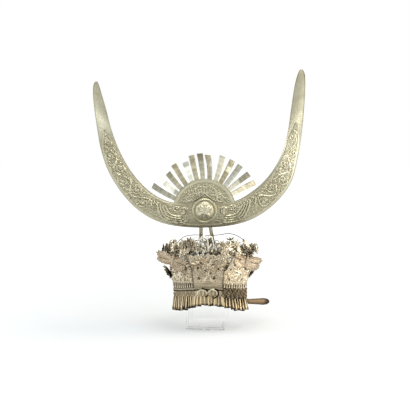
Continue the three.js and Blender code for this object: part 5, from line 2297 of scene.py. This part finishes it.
@dataclass
class Fringe:
    """The chains and bell drops that hang from the rim over the brow and the temples.

    A swag has its bearing and tilt. The backing strip is narrower behind a net, and painted dark there as shade.
    """

    wall: Wall
    rail_radius: float = 0.9
    rail_drop: float = 2.2
    row_gap: float = 4.6
    shade_row_girth: float = 2.2
    link_pitch: float = 3.5
    hook: float = 1.4
    mesh_pitch: tuple[float, float] = (3.0, 2.7)
    net_rise: float = 4.5
    net_tilt: float = 32.0
    backing: tuple[float, float] = (6.0, 15.0)
    swag_at: Table = ((-12.5, 15.0), (3.5, -15.0))
    swag_drop: float = 6.8
    brow_lift: float = 7.0
    brow_y: tuple[float, float] = (45.0, 85.0)
    profile: Table = (
        (0.0, 0.0), (1.1, -0.02), (1.35, -0.09), (1.55, -0.4),
        (1.85, -0.75), (2.3, -1.0), (1.9, -1.0), (0.0, -0.6),
    )
    runs: tuple[FringeRun, ...] = (
        FringeRun("left", -105, -23, 10.5, 41.5, 8.2, (0.8, 0.75, -0.85), 1.1, 4.0, Hang.CHAINS),
        FringeRun("front", -22.5, 22.5, 10.5, 40.5, 7.0, (0.9, 1.0, -0.4), 1.1, 2.0, Hang.LOOPS),
        FringeRun("right", 23, 95, 13.5, 41.0, 9.2, (0.5, 1.0, -0.9), 1.15, 9.0, Hang.NET),
    )

    def __post_init__(self) -> None:
        """Bends the chain link, long in Z."""
        ring = {"major_segments": 8, "minor_segments": 4, "major_radius": 1.3 * MM, "minor_radius": 0.42 * MM}
        obj = add_object("link", bpy.ops.mesh.primitive_torus_add, **ring)
        x, y, z = (read_points(obj) / MM).T
        write_points(obj, columns(x, z, y * 1.75))
        turn_outwards(obj)
        paint(obj, 0.4)
        self.link = Stamp.take(obj)

    def bell(self, top: float, foot: float) -> Stamp:
        """Rolls one drop of unit length, hanging from the origin: a tube that opens to a bell mouth.

        Args:
            top: How pale its top is.
            foot: How pale its foot is.

        Returns:
            The drop, for copying.
        """
        profile = np.array(self.profile)
        sheet = Sheet.lay("bell", (8, len(profile) - 1))
        turn, share = np.pi * sheet.x, sheet.share
        radius, level = read_rows(profile, np.linspace(0, 1, len(profile)), share).T
        raised = np.where(share < 0.7, lerp(top, foot, np.clip(-level, 0, 1)), 0.05)
        points = columns(radius * np.cos(turn), radius * np.sin(turn), level)
        return Stamp.take(sheet.shape(points, raised, thickness=0, closed=True))

    def rail(self, bearings: Value, inset: float = 0.0) -> Array:
        """Gives points of the wire that the drops hang from, or of a row behind it."""
        points = self.wall.points(bearings, 0.0, GAP + 0.6 - inset)
        points[:, 2] = self.wall.rim_at(bearings) - self.rail_drop
        return points

    def facing(self, at: Array) -> Matrix:
        """Gives the matrix that moves a link or a drop to a point and turns it outwards."""
        turn = math.atan2(at[1], at[0] - self.wall.centre_x) + math.pi / 2
        return Matrix.Translation(at) @ Matrix.Rotation(turn, 4, "Z")

    def drop(self, heap: Heap, run: FringeRun, bell: Stamp, at: Array, k: int, tone: tuple[float, float]) -> None:
        """Hangs one chain with its bell.

        Args:
            heap: Takes the links and the bell.
            run: The run that the drop belongs to.
            bell: The bell.
            at: The point on the rail.
            k: The drop's number, which varies how it hangs.
            tone: How much darker it is than the rest, the painted shade of the row behind, and how thick.
        """
        shade, girth = tone
        links, place = round(run.chain / self.link_pitch), self.facing(at)
        for n in range(links):
            level = Matrix.Translation((0, 0, -self.hook - self.link_pitch * (n + 0.5)))
            heap.add(self.link, place @ level @ Matrix.Rotation(n % 2 * math.pi / 2, 4, "Z"), shade)
        top = self.hook + links * self.link_pitch
        length = run.length - self.brow_lift * ease(-at[1], *self.brow_y) - top + 1.6 * math.sin(2.1 * k)
        pose = place @ Matrix.Translation((0, 0, -top)) @ Matrix.Rotation(math.radians(-run.splay), 4, "X")
        pose = pose @ Matrix.Rotation(math.radians(5.0 * math.sin(1.3 * k)), 4, "Y")
        heap.add(bell, pose @ Matrix.Diagonal((girth, girth, length, 1.0)), shade + 0.25 * math.sin(3.3 * k))

    def run(self, run: FringeRun) -> Piece:
        """Hangs one run of drops in two rows, the back one thick and dark as painted shade, before a strip that is
        mottled pale as painted highlights on open runs and dark as painted shade behind a net.

        Args:
            run: Its sizes and tones.

        Returns:
            The run.
        """
        heap, bell, open_strip = Heap(), self.bell(*run.tones[:2]), run.kind is not Hang.NET
        fine = np.linspace(run.start, run.end, 61) + self.wall.turn
        heap.wire(self.rail(fine), self.rail_radius, 8, -0.9)
        sheet = Sheet.lay("backing", (120, 4))
        points = self.rail(np.interp(sheet.x, (-1, 1), (fine[0], fine[-1])), self.row_gap / 2)
        points[:, 2] += 1.5 - self.backing[open_strip] * (1 - sheet.y) / 2
        # Painted strip: on open runs its pale stripes stand for highlights on the chains, behind a net it is dark
        # painted shade
        raised = open_strip * (0.75 + 0.5 * np.sin(70 * sheet.x + 3 * sheet.y)) - 0.2
        heap.add(Stamp.take(sheet.shape(points, raised, thickness=0.5)))
        if run.kind is Hang.LOOPS:
            self.loops(heap)
        # The second row, thick and dark, is painted shade that fills the gaps between the front drops
        for inset, shift, shade, girth in ((0.0, 0.0, 0.0, 1.0), (self.row_gap, 0.5, run.tones[2], self.shade_row_girth)):
            rail = self.rail(fine, inset)
            steps = lengths(rail)
            count = int(steps[-1] / run.pitch)
            marks = 1.2 + (np.arange(count + (not shift)) + shift) * ((steps[-1] - 2.4) / count)
            for k, at in enumerate(read_rows(rail, steps, marks)):
                self.drop(heap, run, bell, at, k, (shade, girth * run.girth))
        if run.kind is Hang.NET:
            self.net(heap, run, fine)
        return heap.make(f"drops_{run.name}", 50)

    def net(self, heap: Heap, run: FringeRun, fine: Array) -> None:
        """Hangs a close net of links from the rim over the run's chains, in two layers.

        Args:
            heap: Takes the links.
            run: The run.
            fine: Its bearings.
        """
        across, down = self.mesh_pitch
        for layer, inset in enumerate((-2.0, 2.2)):
            rail = self.rail(fine, inset)
            steps = lengths(rail)
            for row in range(int((run.chain + self.net_rise) / down) + 1):
                marks = np.arange(1.0 + across / 2 * ((row + layer) % 2), steps[-1] - 0.5, across)
                level = self.net_rise * (1 - layer) - down * (row + 0.5 * layer)
                for k, at in enumerate(read_rows(rail, steps, marks) + (0, 0, level)):
                    tilt = math.radians(self.net_tilt if (row + k) % 2 else -self.net_tilt)
                    shade = -0.25 - 0.3 * layer + 0.25 * math.sin(5.1 * k + 2.3 * row)
                    pose = self.facing(at) @ Matrix.Rotation(tilt, 4, "Y") @ Matrix.Scale(1.1, 4)
                    heap.add(self.link, pose, shade)

    def loops(self, heap: Heap) -> None:
        """Bends the dark wires that frame the right side of each crescent.

        Args:
            heap: Takes the wires.
        """
        for bearing, tilt in self.swag_at:
            angle = np.radians(np.linspace(-70, 85, 24) + tilt)
            loop = columns(12.4 * np.cos(angle), -3.2, 10.2 * np.sin(angle) - self.swag_drop)
            heap.wire(self.rail(bearing) + loop, 1.5, 8, -0.9)

    def swags(self) -> Piece:
        """Cuts the two pale open rings, broad above and narrow at their ends, below the front plate.

        Returns:
            Both rings as one piece.
        """
        heap = Heap()
        for bearing, tilt in self.swag_at:
            sheet = Sheet.lay("swag", (40, 6))
            x, y = sheet.x, sheet.y
            angle, radius = np.radians(90 + tilt + 125 * x), 9.0 + 1.8 * (1 - 0.7 * abs(x) ** 1.5) * y
            up = radius * 0.88 * np.sin(angle) - self.swag_drop
            ring = columns(radius * 1.12 * np.cos(angle), -2.6 - 0.8 * (1 - y**2), up)
            heap.add(Stamp.take(sheet.shape(self.rail(bearing) + ring, 0.85 + 0.15 * abs(y), thickness=0.6)))
        return heap.make("brow_crescents")

    def build(self, dark: Material, pale: Material) -> None:
        """Makes and dresses the runs and the crescents."""
        for run in self.runs:
            settle(self.run(run), dark, Slot.DARK, f"fringe_{run.name}")
        settle(self.swags(), pale, Slot.SILVER)


@dataclass
class Tongue:
    """The flat brown leather tongue at the lower right, hung inside the wall."""

    wall: Wall
    bearing: float = 104.0
    thickness: float = 3.0
    edge: float = 0.9
    front: float = 16.0
    middle: float = 51.8
    half_neck: float = 5.4
    half_end: float = 7.5
    swell: float = 1.6
    neck_from: float = 6.0
    round_end: float = 17.0
    tip_x: float = 138.0
    tab_width: float = 12.0
    tab_rise: float = 11.0

    def outline(self) -> Array:
        """Draws the tongue's edge in X and Z: a tab, a neck and a rounded end.

        Returns:
            The edge's points in order.
        """
        inside = self.wall.point(self.bearing, 0, -SHEET - GAP).x
        low, high = self.middle - self.half_neck, self.middle + self.half_neck
        start, stop, left = inside + self.neck_from, self.tip_x - self.round_end, inside - self.tab_width
        t, share = np.radians(np.linspace(-90, 90, 25)), np.linspace(0, 1, 7)[1:-1]
        end = columns(stop + self.round_end * np.cos(t) ** 0.75, self.middle + self.half_end * np.sin(t))
        below = columns(lerp(start, stop, share), low - self.swell * ease(share, 0, 1))
        above = columns(lerp(stop, start, share), high + self.swell * (1 - ease(share, 0, 1)))
        top = self.wall.rim_z + self.tab_rise
        tab = [(inside - 0.4, high + 3), (inside - 0.4, top), (left, top)]
        return np.vstack([[(left, low), (start, low)], below, end, above, tab])

    def build(self, material: Material) -> None:
        """Cuts, thickens and dresses the tongue.

        Args:
            material: The finish.
        """
        x, z = self.outline().T
        disc = {"vertices": len(x), "fill_type": "NGON", "radius": 1}
        obj = add_object("leather_tongue", bpy.ops.mesh.primitive_circle_add, **disc)
        write_points(obj, columns(x, self.front, z))
        face_towards(obj, FRONT)
        apply_modifier(obj, "SOLIDIFY", thickness=self.thickness * MM, offset=-1.0)
        round_edges(obj, self.edge, 3)
        apply_modifier(obj, "TRIANGULATE")
        in_edit_mode(obj, bpy.ops.mesh.subdivide, number_cuts=2)
        x, _, z = (read_points(obj) / MM).T
        # A painted highlight runs along the upper middle; everywhere else keeps the dark edge colour as painted shade
        paint(obj, bump(z - self.middle - 1.5, 4.0) * ease(x, 84, 96) * (1 - ease(x, 124, 133)))
        settle(soften(obj), material, Slot.LEATHER, "tie_tongue")


@dataclass
class Stand:
    """The clear stand: a plain five-sided box, open at the back."""

    width: float = 84.0
    height: float = 151.2
    wall: float = 4.0
    yaw: float = -8.0
    inset: float = 1.4
    rounding: float = 0.2
    edge: float = 0.7
    foot: float = 1.3

    def near(self, values: Array, level: float) -> Array:
        """Says which values are within an edge's width of a level."""
        return abs(values - level) < self.edge

    def build(self, material: Material) -> None:
        """Makes and dresses the stand.

        Args:
            material: The finish.
        """
        obj, half = add_object("clear_stand", bpy.ops.mesh.primitive_cube_add, size=2), self.width / 2
        write_points(obj, (read_points(obj) + (0, 0, 1)) * (half, half, self.height / 2))
        cut_faces(obj, read_faces(obj, "normal", 3)[:, 1] > 0.5)
        apply_modifier(obj, "SOLIDIFY", thickness=self.wall * MM, offset=-1.0, use_even_offset=True)
        in_edit_mode(obj, bpy.ops.mesh.inset, thickness=self.inset * MM, use_individual=True)
        in_edit_mode(obj, bpy.ops.mesh.subdivide, number_cuts=5)
        round_edges(obj, self.rounding)
        merge_doubles(obj)
        x, y, z = (read_points(obj) / MM).T
        c, s = cosd(self.yaw), sind(self.yaw)
        write_points(obj, columns(x * c - y * s, x * s + y * c, z))
        # Painted shade: the front foot and the bottom's front edge dark as a contact shadow, the uprights faintly
        front, outer = self.near(y, -half), self.near(abs(x), half)
        floor = self.near(z, self.wall) & self.near(y, self.wall - half)
        upright = 0.2 * (front & outer) + 0.05 * (outer & self.near(abs(y), half))
        paint(obj, np.maximum(upright, front & (z < self.foot) | floor))
        settle(soften(obj, 30), material, Slot.ACRYLIC, "stand")


# The studio


@dataclass
class Studio:
    """The white floor, the soft lights and the camera.

    A light has its place and its width and height in metres, its power in watts and its colour.
    """

    target: tuple[float, float, float] = (-5.9, 0.0, 269.5)
    distance: float = 2500.0
    elevation: float = 5.25
    lens: float = 99.8
    floor_radius: float = 6.0
    floor_gap: float = 0.2
    aim: tuple[float, float, float] = (0.0, 0.0, 0.28)
    lights: tuple[tuple[Colour, tuple[float, float], float, Colour], ...] = (
        ((1.5, 0.1, 0.7), (1.0, 1.2), 20.0, (1.0, 0.88, 0.72)),
        ((-1.5, -0.2, 0.8), (1.0, 1.2), 7.0, (0.97, 1.0, 0.97)),
        ((0.2, -0.6, 2.0), (1.6, 1.6), 26.0, (1.0, 0.98, 0.94)),
        ((0.62, -2.1, 0.6), (0.3, 0.7), 3.0, (1.0, 0.96, 0.88)),
        ((-0.95, -2.0, 0.5), (0.3, 0.5), 1.0, (0.96, 1.0, 1.0)),
    )

    def camera(self) -> None:
        """Sets the camera at the photograph's angle."""
        camera = add_object("Camera", bpy.ops.object.camera_add)
        back = Vector((0, -cosd(self.elevation), sind(self.elevation)))
        camera.location = (Vector(self.target) + back * self.distance) * MM
        camera.rotation_euler = (-back).to_track_quat("-Z", "Y").to_euler()
        camera.data.lens, camera.data.sensor_width, camera.data.clip_end = self.lens, 36.0, 50.0
        bpy.context.scene.camera = camera

    def softboxes(self) -> None:
        """Hangs the soft lights, which face the headdress."""
        for place, size, power, colour in self.lights:
            light = add_object("Area", bpy.ops.object.light_add, type="AREA", location=place)
            light.data.shape = "RECTANGLE"
            light.data.size, light.data.size_y = size
            light.data.energy, light.data.color = power, colour
            light.rotation_euler = (Vector(self.aim) - Vector(place)).to_track_quat("-Z", "Y").to_euler()

    @staticmethod
    def sky() -> None:
        """Makes the room: white where the camera sees it, darker behind the camera for the metal to mirror."""
        world = bpy.data.worlds.new("studio")
        bpy.context.scene.world = world
        world.use_nodes = True
        g = Graph(world.node_tree)
        way = g.node("ShaderNodeTexCoord", {}, {}, "Generated")
        depth = g.node("ShaderNodeSeparateXYZ", {}, {"Vector": way}, "Y") * 0.5 + 0.5
        stops = [(0.0, (0.42, 0.42, 0.38)), (0.25, (0.5, 0.5, 0.46)), (0.6, (0.85, 0.85, 0.83)), (1.0, (1, 1, 1))]
        room = g.node("ShaderNodeValToRGB", {"stops": stops}, {"Fac": depth}, "Color")
        lit = g.node("ShaderNodeBackground", {}, {"Color": room, "Strength": 0.8})
        seen = g.node("ShaderNodeBackground", {}, {"Color": (1, 1, 1, 1), "Strength": 1.0})
        ray = g.node("ShaderNodeLightPath", {}, {}, "Is Camera Ray")
        both = g.node("ShaderNodeMixShader", {}, {0: ray, 1: lit, 2: seen})
        g.node("ShaderNodeOutputWorld", {}, {"Surface": both})

    def floor(self) -> None:
        """Lays the white sweep."""
        disc = {"vertices": 96, "radius": self.floor_radius, "fill_type": "NGON"}
        place = (0, 0, -self.floor_gap * MM)
        obj = add_object("white_sweep", bpy.ops.mesh.primitive_circle_add, **disc, location=place)
        obj.data.materials.append(WHITE_PAPER.make())

    def build(self) -> None:
        """Sets up the camera, the room and the lights."""
        bpy.context.scene.view_settings.view_transform = "Standard"
        bpy.context.scene.cycles.transparent_max_bounces = 24
        self.camera()
        self.sky()
        self.floor()
        self.softboxes()
        log.info("studio ready")


def main() -> None:
    """Builds the headdress in order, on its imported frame."""
    logging.basicConfig(level=logging.INFO, format="%(name)s: %(message)s")
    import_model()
    Studio().build()
    wall = Wall()
    plate_silver = PLATE_SILVER.make()
    bloom_silver = BLOOM_SILVER.make()
    drop_silver = DROP_SILVER.make()
    wing_silver = WING_SILVER.make()
    horn_silver = HORN_SILVER.make()
    horns = Horns()
    horns.build(horn_silver)
    Sunburst(horns).build(RAY_SILVER.make())
    plates = CrownPlates(wall)
    plates.build(plate_silver)
    CrownWires(wall).build(plate_silver, bloom_silver)
    HornMount(wall).build(horn_silver)
    flowers = Flowers(wall)
    flowers.build(bloom_silver)
    Butterflies(wall).build(wing_silver)
    SideFlowers(wall, flowers).build(bloom_silver)
    Foliage(wall, plates, flowers).build(bloom_silver)
    Spray(wall).build(SPRAY_SILVER.make())
    Fringe(wall).build(drop_silver, horn_silver)
    Tongue(wall).build(TONGUE_LEATHER.make())
    Stand().build(STAND_ACRYLIC.make())
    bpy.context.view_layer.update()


if __name__ == "__main__":
    main()
